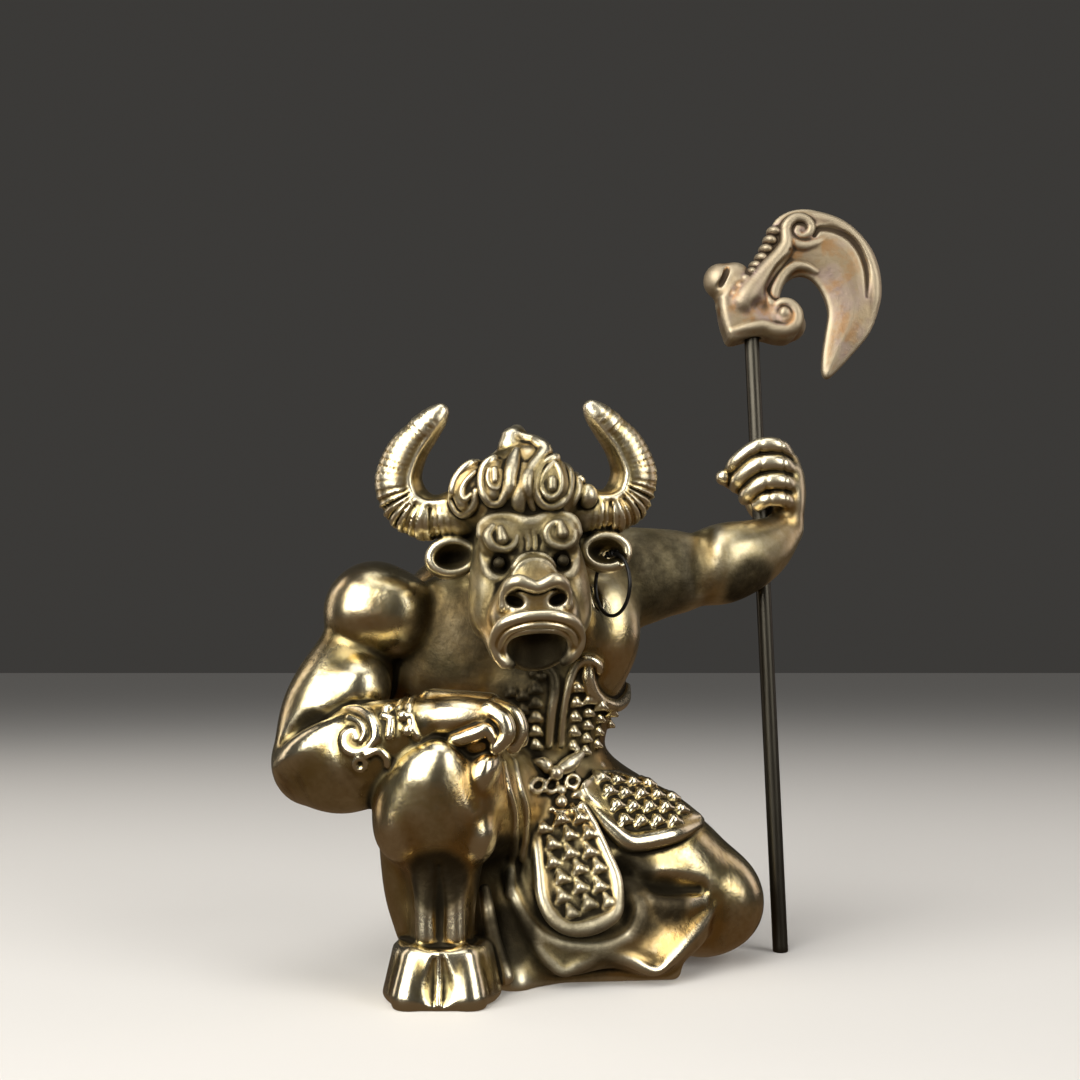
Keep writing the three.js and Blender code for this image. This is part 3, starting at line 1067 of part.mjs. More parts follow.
const group = new THREE.Group();
group.add(node('ox_figure', faceted(figure), AGED_BRASS, SCULPTING_ORIGIN));
group.add(node('staff_rod', rodGeometry(), DARK_ROD, ROD_FOOT));
group.add(node('staff_blade', faceted(blade), PALE_BRASS, SCULPTING_ORIGIN));
group.add(node('ear_ring', earRingGeometry(), BLACK_WIRE, EAR_RING_MIDDLE));

// The origin is the middle of the bounding box, at floor level.
const box = new THREE.Box3().setFromObject(group, true);
const middle = box.getCenter(new THREE.Vector3());
group.position.set(-middle.x, -middle.y, -box.min.z);
group.updateMatrixWorld(true);

export default group;
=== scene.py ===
import bpy
import numpy as np
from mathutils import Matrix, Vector


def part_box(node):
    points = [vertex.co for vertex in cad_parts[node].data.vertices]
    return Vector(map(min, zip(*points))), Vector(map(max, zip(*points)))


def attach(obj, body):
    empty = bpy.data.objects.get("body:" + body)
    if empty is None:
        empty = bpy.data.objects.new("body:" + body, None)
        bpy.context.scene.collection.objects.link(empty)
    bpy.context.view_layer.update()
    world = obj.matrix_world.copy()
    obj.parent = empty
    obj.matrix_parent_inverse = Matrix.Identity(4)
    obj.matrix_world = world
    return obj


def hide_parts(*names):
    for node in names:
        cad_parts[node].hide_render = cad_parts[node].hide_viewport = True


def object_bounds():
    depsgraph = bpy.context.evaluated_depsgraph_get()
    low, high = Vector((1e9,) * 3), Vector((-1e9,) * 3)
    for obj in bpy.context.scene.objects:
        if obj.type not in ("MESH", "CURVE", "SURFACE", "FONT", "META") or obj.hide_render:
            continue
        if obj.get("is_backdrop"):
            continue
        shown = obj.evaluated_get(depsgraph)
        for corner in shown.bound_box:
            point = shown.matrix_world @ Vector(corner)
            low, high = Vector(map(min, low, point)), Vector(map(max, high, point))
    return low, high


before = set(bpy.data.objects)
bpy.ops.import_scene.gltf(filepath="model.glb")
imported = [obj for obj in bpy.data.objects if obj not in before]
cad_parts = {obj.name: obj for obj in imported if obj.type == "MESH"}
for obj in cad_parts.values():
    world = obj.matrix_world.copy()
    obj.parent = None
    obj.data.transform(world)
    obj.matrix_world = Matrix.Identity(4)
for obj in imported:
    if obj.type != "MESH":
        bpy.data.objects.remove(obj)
CAD_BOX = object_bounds()
BODY = "root"
MM = 0.001

# The photograph's view: its focal length in pixels, and where the eye is.
PHOTO_SIDE_PX = 1080
FOCAL_PX = 1300
SENSOR_MM = 36.0
EYE = (0.0, -160.0, 36.8)
EYE_PITCH = 5.67

# Boxes and fineness of the castings' grids, and the most faces that each piece may have.
BODY_BOX = ((-35, -20, -1.2), (39, 38, 68.5))
HEAD_BOX = ((-21, -21, 34), (18, 13, 71.5))
BLADE_BOX = ((22.0, 10.3, 75.2), (48.0, 18.7, 101.0))
COARSE = 1.0
BODY_STEP = 0.22 * COARSE
HEAD_STEP = 0.15 * COARSE
BLADE_STEP = 0.13 * COARSE
MOST_FACES = 190000
FAR = 6.0
MARGIN = 0.9
SIGHT_STRIDE = 0.25
SIGHT_REACH = 32.0

# The share of a grid step that a filled corner lies inside, and the least slope squared that moves a point.
JUST_INSIDE = 0.02
LEAST_STEEP = 0.05

# How wide a cube is averaged to tell a hollow from a ridge, and a sheltered place from an open one.
HOLLOW_REACH = 0.75
SHELTER_REACH = 3.6

# The pole, the blade's middle plane and the ear wire.
ROD_RADIUS = 1.0
ROD_FOOT = (31.45, 14.5, 0.0)
ROD_TOP = (28.88, 14.5, 85.4)
CLEARANCE = 0.3
BLADE_MIDDLE = 14.5
EAR_WIRE_RADIUS = 0.23
EAR_HOLE_RADIUS = 0.6
EAR_RING_RADIUS = 3.75
EAR_RING_MIDDLE = (8.7, -4.0, 46.9)
EAR_RING_TURN = -60.0

# Round a horn, by the cosine of the angle from the middle of its inner side: where its ribs end, and the
# keel and the flat side lie. Along it: the shares of its length over which they fade out.
RIBS_END = 0.45
RIBS_FADE = 0.2
KEEL_AT = 0.5
KEEL_HALF = 0.16
KEEL_HEIGHT = 0.2
FLAT_FROM = 0.55
FLAT_FADE = 0.45
FLAT_DEPTH = 0.25
ROOT_FADE = 0.04
TIP_FADE = 0.4

# Rounding of the sole and of the whole casting, the least radius of a stroke and the steps of its curve.
SOLE_ROUNDING = 0.8
CAST_ROUNDING = 0.3
LEAST_RADIUS = 0.05
STROKE_STEPS = 5

# The round section of the pole and the wires, and a way that none of their lines takes.
ROD_SIDES = 48
WIRE_SIDES = 16
RING_STEPS = 96
ALMOST_FRONT = (0.03, -1.0, 0.02)

# The wire's end, wound round the ring's top: its turns, the angle they take, and the helix's radius.
KNOT_TURNS = 3
KNOT_SPAN = 0.5
KNOT_RADIUS = 0.33
KNOT_WIRE = 0.13
KNOT_SIDES = 10
KNOT_STEPS = 60

# The ways that strokes are laid on, and the depths they start from: on the head, in its own frame, on the
# breast, the apron, the knee, the near sleeve and the back.
FRONT = (0, 1, 0)
REAR = (0, -1, 0)
SLANT = (0, -0.7071, -0.7071)
HEAD_FRONT = -16
BREAST_FRONT = -6
APRON_FRONT = -14
KNEE_FRONT = -20
SLEEVE_FRONT = -22
BACK_REAR = 36


def sculpt_shift():
    """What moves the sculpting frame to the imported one: the pole's box middle less its own middle."""
    low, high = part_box("staff_rod")
    middle = (np.array(ROD_FOOT) + np.array(ROD_TOP)) / 2
    shift = (np.array(low) + np.array(high)) / 2 / MM - middle
    return np.array([shift[0], shift[1], 0.0])


SHIFT = sculpt_shift()


def to_metres(points):
    """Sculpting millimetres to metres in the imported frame."""
    return (np.asarray(points, float) + SHIFT) * MM


# Clay


def rounded(a, b, rounding):
    """Both of two bounds with a round edge: the length of what is outside, plus the greater inside."""
    a, b = a + rounding, b + rounding
    outside = np.sqrt(np.maximum(a, 0) ** 2 + np.maximum(b, 0) ** 2)
    return outside + np.minimum(np.maximum(a, b), 0) - rounding


def soft_min(a, b, blend):
    """Smooth minimum: the lesser value, less (blend - |a - b|) squared over 4 blend where they are near."""
    if blend <= 0:
        return np.minimum(a, b)
    near = np.maximum(blend - np.abs(a - b), 0)
    return np.minimum(a, b) - near * near * (0.25 / blend)


def turned(degrees):
    """Rotation matrix of turns about x, then y, then z."""
    (a, b, c), (p, q, r) = np.cos(np.radians(degrees)), np.sin(np.radians(degrees))
    about_x = np.array([[1, 0, 0], [0, a, -p], [0, p, a]])
    about_y = np.array([[b, 0, q], [0, 1, 0], [-q, 0, b]])
    about_z = np.array([[c, -r, 0], [r, c, 0], [0, 0, 1]])
    return about_z @ about_y @ about_x


class Place:
    """A frame of its own: an origin and a turn."""

    def __init__(self, origin=(0, 0, 0), turn=(0, 0, 0)):
        self.origin = np.array(origin, float)
        self.matrix = turned(turn)

    def put(self, points):
        return np.array(points, float) @ self.matrix.T + self.origin

    def inside(self, x, y, z):
        """World coordinates seen in this frame."""
        px, py, pz = x - self.origin[0], y - self.origin[1], z - self.origin[2]
        m = self.matrix
        return [px * m[0, i] + py * m[1, i] + pz * m[2, i] for i in range(3)]

    def within(self, origin, turn):
        """A frame placed and turned inside this one."""
        inner = Place()
        inner.origin = self.put(origin)
        inner.matrix = self.matrix @ turned(turn)
        return inner


WORLD = Place()
HEAD = Place((-1.8, -6.0, 50.5), (0, -2.6, 6.0))
TASSET = Place((4.2, -4.6, 13.8), (-17.8, -15, 4.7))
THIGH = Place((12, 2, 20), (-47.7, 0, 21.8))
NEAR_HOOF = Place((-11.0, -9.2, 0))
REAR_HOOF = Place((11.2, 33.2, 5.0), (90, 0, 22))


def curve(points, steps):
    """Catmull-Rom curve through rows of numbers: each span is a cubic of the two rows on each side."""
    p = np.array(points, float)
    p = np.vstack([2 * p[0] - p[1], p, 2 * p[-1] - p[-2]])
    t = np.linspace(0, 1, steps, endpoint=False)[:, None]
    spans = []
    for a, b, c, d in zip(p, p[1:], p[2:], p[3:]):
        bend = (2 * a - 5 * b + 4 * c - d) * t**2 + (3 * b - a - 3 * c + d) * t**3
        spans.append(0.5 * (2 * b + (c - a) * t + bend))
    return np.vstack(spans + [p[-2][None]])


class Shape:
    """A box and a distance function of x, y and z, negative inside."""

    def __init__(self, low, high, distance):
        self.low = np.array(low, float)
        self.high = np.array(high, float)
        self.distance = distance


def ball(centre, radii, turn=(0, 0, 0), place=WORLD):
    """Ellipsoid: with k the length of q / r and g that of q / r squared, the distance is k (k - 1) / g."""
    radii = np.broadcast_to(np.array(radii, float), 3)
    own = place.within(centre, turn)
    reach = np.sqrt((own.matrix**2 * radii**2).sum(1))

    def distance(x, y, z):
        q = own.inside(x, y, z)
        near = np.sqrt(sum((q[i] / radii[i]) ** 2 for i in range(3)))
        steep = np.sqrt(sum((q[i] / radii[i] ** 2) ** 2 for i in range(3)) + 1e-9)
        return near * (near - 1) / steep

    return Shape(own.origin - reach, own.origin + reach, distance)


def spread(radii, count):
    """One radius for each point."""
    return np.full(count, float(radii)) if np.ndim(radii) == 0 else np.array(radii, float)


def along_segment(x, y, z, start, way):
    """Share of the way along a segment, and the offset from the nearest point on it."""
    px, py, pz = x - start[0], y - start[1], z - start[2]
    t = np.clip((px * way[0] + py * way[1] + pz * way[2]) / max(way @ way, 1e-9), 0, 1)
    return t, px - t * way[0], py - t * way[1], pz - t * way[2]


def chain(p, r, distance):
    """A shape in the box round balls of radius r at points p."""
    return Shape((p - r[:, None]).min(0), (p + r[:, None]).max(0), distance)


def limb(points, radii, bend=0, place=WORLD):
    """A chain of round cones: the least distance to its segments, less the radius there. bend curves it."""
    p = place.put(points)
    r = spread(radii, len(p))
    if bend:
        rows = curve(np.column_stack([p, r]), bend)
        p, r = rows[:, :3], np.maximum(rows[:, 3], LEAST_RADIUS)

    def distance(x, y, z):
        best = None
        for a, b, ra, rb in zip(p, p[1:], r, r[1:]):
            t, ox, oy, oz = along_segment(x, y, z, a, b - a)
            gap = np.sqrt(ox * ox + oy * oy + oz * oz) - (ra + t * (rb - ra))
            best = gap if best is None else np.minimum(best, gap)
        return best

    return chain(p, r, distance)


def unit(rows):
    return rows / np.linalg.norm(rows, axis=-1, keepdims=True)


def run_along(points):
    """How far along a line each of its points lies."""
    return np.concatenate([[0], np.cumsum(np.linalg.norm(np.diff(points, axis=0), axis=1))])


def horn(points, radii, middle, ribs, depth, place):
    """A curved horn. Grooves of depth times 1 - |sin| cross its outer side, a keel runs beside
    its flat inner side, and both fade out at the root and the tip. How far along a point lies is
    its share between the planes square to the line at the ends of its segment."""
    rows = curve(np.column_stack([place.put(points), radii]), 5)
    p, r = rows[:, :3], rows[:, 3]
    ahead = unit(np.gradient(p, axis=0))
    toward = place.put(middle) - p
    inward = unit(toward - ahead * (toward * ahead).sum(1, keepdims=True))
    run = run_along(p)
    run /= run[-1]

    def distance(x, y, z):
        best = inner = where = None
        for i in range(len(p) - 1):
            a, b = p[i], p[i + 1]
            t, ox, oy, oz = along_segment(x, y, z, a, b - a)
            size = np.sqrt(ox * ox + oy * oy + oz * oz)
            gap = size - (r[i] + t * (r[i + 1] - r[i]))
            after = (x - a[0]) * ahead[i, 0] + (y - a[1]) * ahead[i, 1] + (z - a[2]) * ahead[i, 2]
            n = ahead[i + 1]
            before = (b[0] - x) * n[0] + (b[1] - y) * n[1] + (b[2] - z) * n[2]
            share = np.clip(after / np.maximum(after + before, 1e-6), 0, 1)
            u, v = inward[i], inward[i + 1] - inward[i]
            facing = sum(o * (u[k] + share * v[k]) for k, o in enumerate((ox, oy, oz))) / (size + 1e-6)
            share = run[i] + share * (run[i + 1] - run[i])
            if best is None:
                best, inner, where = gap, facing, share
                continue
            near = gap < best
            inner = np.where(near, facing, inner)
            where = np.where(near, share, where)
            best = np.minimum(best, gap)
        outer = np.clip((RIBS_END - inner) / RIBS_FADE, 0, 1)
        keel = np.clip(1 - np.abs(inner - KEEL_AT) / KEEL_HALF, 0, 1)
        flat = np.clip((inner - FLAT_FROM) / FLAT_FADE, 0, 1)
        groove = 1 - np.abs(np.sin(np.pi * ribs * where))
        ends = np.clip(where / ROOT_FADE, 0, 1) * np.clip((1 - where) / TIP_FADE, 0, 1)
        return best + ends * (depth * outer * groove - KEEL_HEIGHT * keel + FLAT_DEPTH * flat)

    return chain(p, r, distance)


def slab(centre, half, turn, rounding, place=WORLD):
    """A rounded box: the length of the part of |q| - half outside it, plus the nearest face inside it."""
    half = np.array(half, float)
    own = place.within(centre, turn)
    reach = (np.abs(own.matrix) * half).sum(1)

    def distance(x, y, z):
        q = [np.abs(v) - h + rounding for v, h in zip(own.inside(x, y, z), half)]
        outside = np.sqrt(sum(np.maximum(v, 0) ** 2 for v in q))
        return outside + np.minimum(np.maximum(np.maximum(q[0], q[1]), q[2]), 0) - rounding

    return Shape(own.origin - reach, own.origin + reach, distance)


def stump(low_radius, high_radius, height, rounding, place):
    """A cone with a flat top: the more of the distances to its side and its top, rounded where they meet.
    Its side draws in by a square law over the lowest millimetre."""
    reach = (-low_radius, low_radius)
    corners = place.put([(a, b, w) for a in reach for b in reach for w in (-1, height)])

    def distance(x, y, z):
        u, v, w = place.inside(x, y, z)
        radius = low_radius + (high_radius - low_radius) * np.clip(w / height, 0, 1)
        radius = radius - SOLE_ROUNDING * np.clip(1 - w, 0, 1) ** 2
        return rounded(np.sqrt(u * u + v * v) - radius, w - height, rounding)

    return Shape(corners.min(0), corners.max(0), distance)


def to_outline(outline, x, z):
    """Distance to a closed outline: the nearest edge's, negative where a ray crosses it an odd number
    of times."""
    p = np.array(outline, float)
    best = odd = None
    for (ax, az), (bx, bz) in zip(p, np.roll(p, -1, 0)):
        ex, ez = bx - ax, bz - az
        wx, wz = x - ax, z - az
        t = np.clip((wx * ex + wz * ez) / (ex * ex + ez * ez + 1e-12), 0, 1)
        gap = (wx - ex * t) ** 2 + (wz - ez * t) ** 2
        rise = ez if abs(ez) > 1e-9 else 1e-9
        crossed = ((az > z) != (bz > z)) & (wx < ex * wz / rise)
        best = gap if best is None else np.minimum(best, gap)
        odd = crossed if odd is None else odd ^ crossed
    return np.where(odd, -1, 1) * np.sqrt(best)


def plate(outline, middle, half, rounding, place=WORLD):
    """A plate: an outline in the frame's x and z, thick along its y, with rounded edges."""
    ends = (middle - half, middle + half)
    corners = place.put([(a, y, b) for a, b in outline for y in ends])

    def distance(x, y, z):
        u, v, w = place.inside(x, y, z)
        return rounded(to_outline(outline, u, w), np.abs(v - middle) - half, rounding)

    return Shape(corners.min(0), corners.max(0), distance)


def lens(outline, middle, rim, crown, width):
    """A plate that swells from its rim: half its thickness is rim + crown times the root of the depth
    inside / width."""
    low, high = np.min(outline, 0), np.max(outline, 0)
    thick = rim + crown

    def distance(x, y, z):
        edge = to_outline(outline, x + 0 * z, z + 0 * x)
        face = np.abs(y - middle) - rim - crown * np.sqrt(np.clip(-edge / width, 0, 1))
        edge = edge + 0 * face
        corner = np.sqrt(np.maximum(edge, 0) ** 2 + np.maximum(face, 0) ** 2)
        return np.where((edge > 0) & (face > 0), corner, np.maximum(edge, face))

    return Shape((low[0], middle - thick, low[1]), (high[0], middle + thick, high[1]), distance)


def sample(grid, low, step, points):
    """A grid's value at points, weighted between the eight grid corners around each."""
    q = (np.asarray(points, float) - low) / step
    cell = np.clip(np.floor(q).astype(int), 0, np.array(grid.shape) - 2)
    part = np.clip(q - cell, 0, 1)
    total = 0
    for corner in CORNERS:
        weight = np.prod(np.where(corner, part, 1 - part), axis=1)
        total = total + weight * grid[tuple((cell + corner).T)]
    return total


CORNERS = np.array([(n & 1, n >> 1 & 1, n >> 2 & 1) for n in range(8)])
CELL_EDGES = [(n, n | bit) for n in range(8) for bit in (1, 2, 4) if not n & bit]


class Clay:
    """A distance field on a regular grid, worked on with shapes."""

    def __init__(self, low, high, step):
        self.low = np.array(low, float)
        self.step = step
        self.axes = [np.arange(a, b + step, step).astype(np.float32) for a, b in zip(low, high)]
        self.field = np.full([len(a) for a in self.axes], FAR, np.float32)

    def work(self, shape, reach, change):
        """Replaces the field near a shape by change(field, the shape's distance)."""
        low, high = shape.low - reach, shape.high + reach
        cut = tuple(
            slice(max(np.searchsorted(axis, start) - 1, 0), min(np.searchsorted(axis, end) + 1, len(axis)))
            for axis, start, end in zip(self.axes, low, high)
        )
        x, y, z = (a[c] for a, c in zip(self.axes, cut))
        if min(len(x), len(y), len(z)) == 0:
            return
        gap = shape.distance(x[:, None, None], y[None, :, None], z[None, None, :])
        self.field[cut] = change(self.field[cut], gap.astype(np.float32))

    def add(self, shape, blend=0.0):
        self.work(shape, blend + MARGIN, lambda old, gap: soft_min(old, gap, blend))

    def carve(self, shape, blend=0.0):
        self.work(shape, blend + MARGIN, lambda old, gap: -soft_min(-old, gap, blend))

    def coat(self, outline, near, far, thick, rounding, place):
        """Thickens the surface inside an outline drawn in the frame's x and z."""

        def change(old, gap):
            return np.minimum(old, rounded(gap, old - thick, rounding))

        shape = plate(outline, (near + far) / 2, abs(far - near) / 2, 0.0, place)
        self.work(shape, MARGIN, change)

    def value(self, points):
        return sample(self.field, self.low, self.step, points)

    def land(self, points, way, sink=0.0):
        """Moves points along a direction to the surface, and says which of them met it."""
        p = np.array(points, float)
        way = np.array(way, float)
        met = np.zeros(len(p), bool)
        t = np.zeros(len(p))
        before = self.value(p)
        for n in range(1, int(SIGHT_REACH / SIGHT_STRIDE)):
            here = self.value(p + way * (n * SIGHT_STRIDE))
            hit = ~met & (here < 0)
            share = before[hit] / np.maximum(before[hit] - here[hit], 1e-6)
            t[hit] = (n - 1 + np.clip(share, 0, 1)) * SIGHT_STRIDE
            met |= hit
            before = here
        return p + way * (t[:, None] + sink), met

    def draw(self, points, radii, way, place=WORLD, sink=0.0, blend=0.2, cut=False, closed=False):
        """A ridge, or a groove, that follows the surface as seen along a direction."""
        rows = np.column_stack([np.array(points, float), spread(radii, len(points))])
        if closed:
            rows = np.vstack([rows, rows[:1]])
        rows = curve(rows, STROKE_STEPS)
        spots, met = self.land(place.put(rows[:, :3]), place.matrix @ np.array(way, float), sink)
        shape = limb(spots[met], np.maximum(rows[met, 3], LEAST_RADIUS))
        (self.carve if cut else self.add)(shape, blend)

    def soften(self, times):
        """Rounds the surface as casting does: a quarter, half, quarter mean along each axis."""
        for axis in (0, 1, 2) * times:
            f = np.moveaxis(self.field, axis, 0)
            f[1:-1] = 0.25 * f[:-2] + 0.5 * f[1:-1] + 0.25 * f[2:]


def at_depth(points, y):
    return [(a, y, b) for a, b in points]


def ring(middle, wide, tall, count):
    """An ellipse of [x, z] points, clockwise from its top."""
    t = np.arange(count) * 2 * np.pi / count
    return list(zip(middle[0] + wide * np.sin(t), middle[1] + tall * np.cos(t)))


def closed_ring(points):
    return list(points) + [points[0]]


def on_head(c, points, radii, sink=0.05, blend=0.2, cut=False):
    """A ridge or groove on the head along [x, z] points, landed from in front."""
    c.draw(at_depth(points, HEAD_FRONT), radii, FRONT, HEAD, sink, blend, cut)


def on_front(c, points, radii, y, sink=0.0, blend=0.2, cut=False, closed=False):
    """A ridge or groove on the body along [x, z] points, landed from y."""
    c.draw(at_depth(points, y), radii, FRONT, WORLD, sink, blend, cut, closed)


# The figure's masses


def torso(c):
    """Rib cage, near side, shoulders, the two halves of the breast, waist, hips and neck."""
    c.add(ball((-3.0, 8.5, 41.0), (15.2, 8.8, 12.5)))
    c.add(ball((-14.5, 6.0, 37.0), (6.0, 6.0, 8.0)), 3)
    c.add(ball((-2.5, 11, 46.5), (15, 7.6, 6.8)), 3)
    c.add(ball((-9.6, 2.0, 41.5), (7.4, 4.6, 7.8), (0, -8, 0)), 2.0)
    c.add(ball((6.9, 2.8, 41.0), (5.6, 4.4, 8.0), (0, 8, 0)), 1.6)
    c.add(limb([(0.6, 7.5, 34), (0.9, 6.8, 24.5)], [9.4, 6.4]), 3)
    c.add(ball((1.5, 9.5, 19.5), (9.5, 8, 7)), 4)
    c.add(limb([(-2.0, 9, 47), (-1.8, -2, 49.5)], [8.6, 6.2]), 3)


def cloth(c):
    """The apron flares in folds from the belt to a wavy hem over a plain foot, and trails behind."""
    belt = np.array([1.2, 3.5, 22.5])
    hem = [(-2.6, -3.0, 9.0), (-0.4, -3.6, 5.6), (2.8, -4.0, 3.4), (6.0, -3.6, 4.0), (9.6, -3.0, 4.2),
           (13.0, -2.4, 3.0), (16.0, -0.8, 4.0), (18.6, 1.6, 5.6)]
    for end in curve(hem, 2):
        middle = belt * 0.45 + end * 0.55 + np.array([0, -0.6, 0.4])
        c.add(limb([belt, middle, end], [3.4, 3.0, 2.0], 8), 1.6)
    c.add(limb([(1, 5, 16), (8, 6, 4)], [8, 7]), 2)
    c.add(slab((7.0, 3.0, 1.5), (9.5, 5.6, 1.6), (0, 0, 6), 1.0), 0.8)
    c.add(limb([(-4.6, -1.5, 16), (-4.4, -2.5, 9), (-3.0, -4.6, 0.6)], [1.9, 2.0, 2.2], 8), 1.6)
    c.add(limb([(-2.4, -0.5, 12), (-1.4, -1.5, 1.0)], [2.8, 3.2]), 1.6)
    c.add(limb([(-6.6, -1.5, 15), (-6.2, -2, 2.4)], [2.2, 2.4]), 1.0)
    seat = np.array([1.5, 10.5, 23.0])
    train = [(-9.5, 13, 2.5), (-6.5, 18.5, 2.0), (-1.5, 22.0, 2.2), (4.0, 23.5, 2.0), (9.5, 23.5, 2.4),
             (14.0, 21.5, 4.0)]
    for end in np.array(train):
        middle = (seat + end) / 2 + np.array([0, 2.2, 1.6])
        c.add(limb([seat, middle, end], [4.6, 4.4, 2.4], 8), 2.0)
    c.add(slab((1.5, 12, 3.0), (9.5, 9.0, 3.2), (0, 0, 0), 2.0), 1.5)


def kneeling_leg(c):
    """Thigh, knee and the shin that trails behind."""
    c.add(limb([(4.5, 9, 18.5), (14, 7.5, 13.0), (21.3, 9.2, 7.6)], [8.4, 8.0, 6.8], 12), 2)
    c.add(ball((22.2, 7.6, 8.6), (5.6, 5.0, 6.4), (0, -35, 0)), 1.0)
    c.add(limb([(20.5, 12, 6.0), (16, 22, 6.0), (11.5, 30, 4.4)], [6.0, 5.8, 3.4], 12), 1.2)


def standing_leg(c):
    """Thigh, knee and calf, with the muscles round the knee and two sinews down the shin."""
    c.add(limb([(-2, 7, 19.5), (-10.5, -6.5, 22)], [7.8, 7.4]), 2)
    c.add(ball((-11.8, -10.2, 22.2), (7.2, 6.4, 7.2)), 1.5)
    c.add(ball((-11.9, -12.4, 25.0), (4.4, 4.4, 4.2)), 1.0)
    c.add(ball((-15.3, -10.5, 19.6), (3.6, 5.0, 4.6)), 0.8)
    c.add(ball((-7.2, -11.2, 18.6), (2.5, 3.6, 3.6)), 0.6)
    c.add(ball((-6.4, -11.6, 25.2), (1.9, 3.8, 3.4), (0, 22, 0)), 0.5)
    c.add(limb([(-13.2, -6.0, 20), (-13.8, -4.8, 12), (-13.2, -6, 7.5)], [5.8, 4.5, 3.6], 10), 1.5)
    c.add(limb([(-11, -9.4, 18), (-10.8, -9.0, 11), (-11, -9, 5.5)], [5.0, 3.6, 3.5], 10), 1.0)
    for x in (-12.8, -9.4):
        c.add(limb([(x, -11.6, 15), (x, -11.9, 11), (x + 0.1, -12.2, 7)], [1.3, 1.25, 1.2], 6), 0.8)


def resting_arm(c):
    """Shoulder, upper arm and forearm of the arm that rests on the knee."""
    c.add(ball((-20.6, 1.0, 43.9), (6.1, 6.4, 6.3), (0, 25, 0)), 1.0)
    c.add(ball((-17.5, -0.6, 43.5), (4.4, 4.6, 5.2), (0, 10, 0)), 1.2)
    c.add(limb([(-22.8, 1, 38.5), (-24.8, -1.5, 32), (-26.6, -3, 26.5)], [4.8, 6.2, 5.2], 12), 0.7)
    c.add(ball((-22.2, -3.6, 34.2), (4.6, 4.0, 4.0), (0, -35, 0)), 0.8)
    c.add(limb([(-26.8, -3.6, 25.6), (-22.0, -6.8, 26.2), (-16.5, -10.3, 29.0), (-12.6, -12, 31.0)],
               [5.0, 5.9, 4.1, 2.5], 12), 0.7)


def staff_arm(c):
    """Shoulder, upper arm, forearm and the palm of the raised arm."""
    c.add(ball((11.2, 9.0, 48.4), (7.4, 6.6, 6.2), (0, 8, 0)), 2)
    c.add(limb([(12, 9, 49.2), (17.0, 10, 49.4), (20.3, 10.6, 49.7)], [6.0, 5.6, 4.5], 12), 1.0)
    c.add(limb([(20.4, 10.8, 49.6), (24.2, 11.4, 50.7), (29.2, 13.4, 52.6), (33.2, 15.2, 55.6)],
               [4.4, 5.3, 4.2, 2.5], 12), 0.5)
    c.add(ball((33.9, 15.4, 60.6), (2.2, 3.3, 5.6)), 1.2)
    c.add(ball((31.6, 17.8, 61.0), (3.8, 1.8, 4.6)), 1.0)


def head_mass(c):
    """Skull, face, brow, cheeks, jaws, muzzle, chin and the hair's bulk."""
    f = HEAD
    c.add(ball((0, 0.5, 1.0), (6.3, 6.4, 6.0), place=f), 1.0)
    c.add(ball((0, -2.9, -2.2), (6.5, 4.6, 7.4), place=f), 0.8)
    c.add(slab((0, -5.2, 1.6), (5.7, 2.0, 2.3), (8, 0, 0), 1.2, f), 0.7)
    for s in (-1, 1):
        c.add(ball((s * 4.75, -3.0, -4.6), (2.35, 4.3, 5.6), (0, -7 * s, 0), f), 0.8)
        c.add(limb([(s * 4.4, -4, -7.5), (s * 3.7, -8.2, -11.6)], [2.2, 1.6], place=f), 1.2)
    c.add(limb([(-1.1, -8.3, -5.5), (1.1, -8.3, -5.5)], 2.9, place=f), 0.8)
    c.add(limb([(-2.2, -8.0, -7.6), (2.2, -8.0, -7.6)], 2.9, place=f), 0.8)
    c.add(ball((0, -5, -10.4), (4.6, 4.6, 3.6), place=f), 1.0)
    c.add(ball((-0.9, -1.2, 6.8), (7.9, 5.8, 4.9), place=f), 0.6)
    c.add(ball((0.2, -1.2, 10.2), (4.2, 4.2, 2.9), place=f), 0.8)
    c.add(limb([(0.0, -1.0, 11.4), (-0.4, -0.8, 14.5)], [2.5, 1.1], place=f), 0.6)


# Carving on the figure


def hoof(c, f):
    """A hoof flares from a flat coronet to the sole, with two toes and a thin ridge in its cleft."""
    c.add(stump(6.9, 5.5, 6.2, 0.6, f), 0.3)
    for s in (-1, 1):
        toe = [(s * 2.6, -3.6, 4.8), (s * 2.9, -4.1, 3.0), (s * 3.2, -4.5, 1.1)]
        c.add(limb(toe, [1.8, 2.0, 2.15], 6, f), 0.6)
    cleft = [(0, -6.75, 5.2), (0, -8.05, 3.0), (0, -8.1, 0.8)]
    c.carve(limb(cleft, [1.5, 2.6, 2.0], 6, f), 0.25)
    c.add(limb([(0, -5.35, 5.9), (0, -5.5, 3.0), (0, -6.2, 0.6)], [0.2, 0.27, 0.3], 6, f), 0.3)


def legs(c):
    """The two hooves, the slit beside the near knee, the knee's cap and the groove down its shin."""
    hoof(c, NEAR_HOOF)
    c.carve(limb([(-8.4, -16.6, 27.4), (-7.6, -16.4, 24.4), (-6.6, -15.6, 21.8)], [0.4, 0.5, 0.5], 5), 0.9)
    hoof(c, REAR_HOOF)
    c.carve(slab((0, 0, -5), (9, 9, 5), (0, 0, 0), 0.2, REAR_HOOF), 0.3)
    c.add(ball((-11.2, -14.2, 26.2), (2.6, 2.2, 2.8)), 0.6)
    shin = [(-11.2, 15.0), (-11.1, 12.4), (-11.1, 9.8), (-11.1, 7.4)]
    on_front(c, shin, [0.1, 0.3, 0.35, 0.15], KNEE_FRONT, blend=0.9, cut=True)


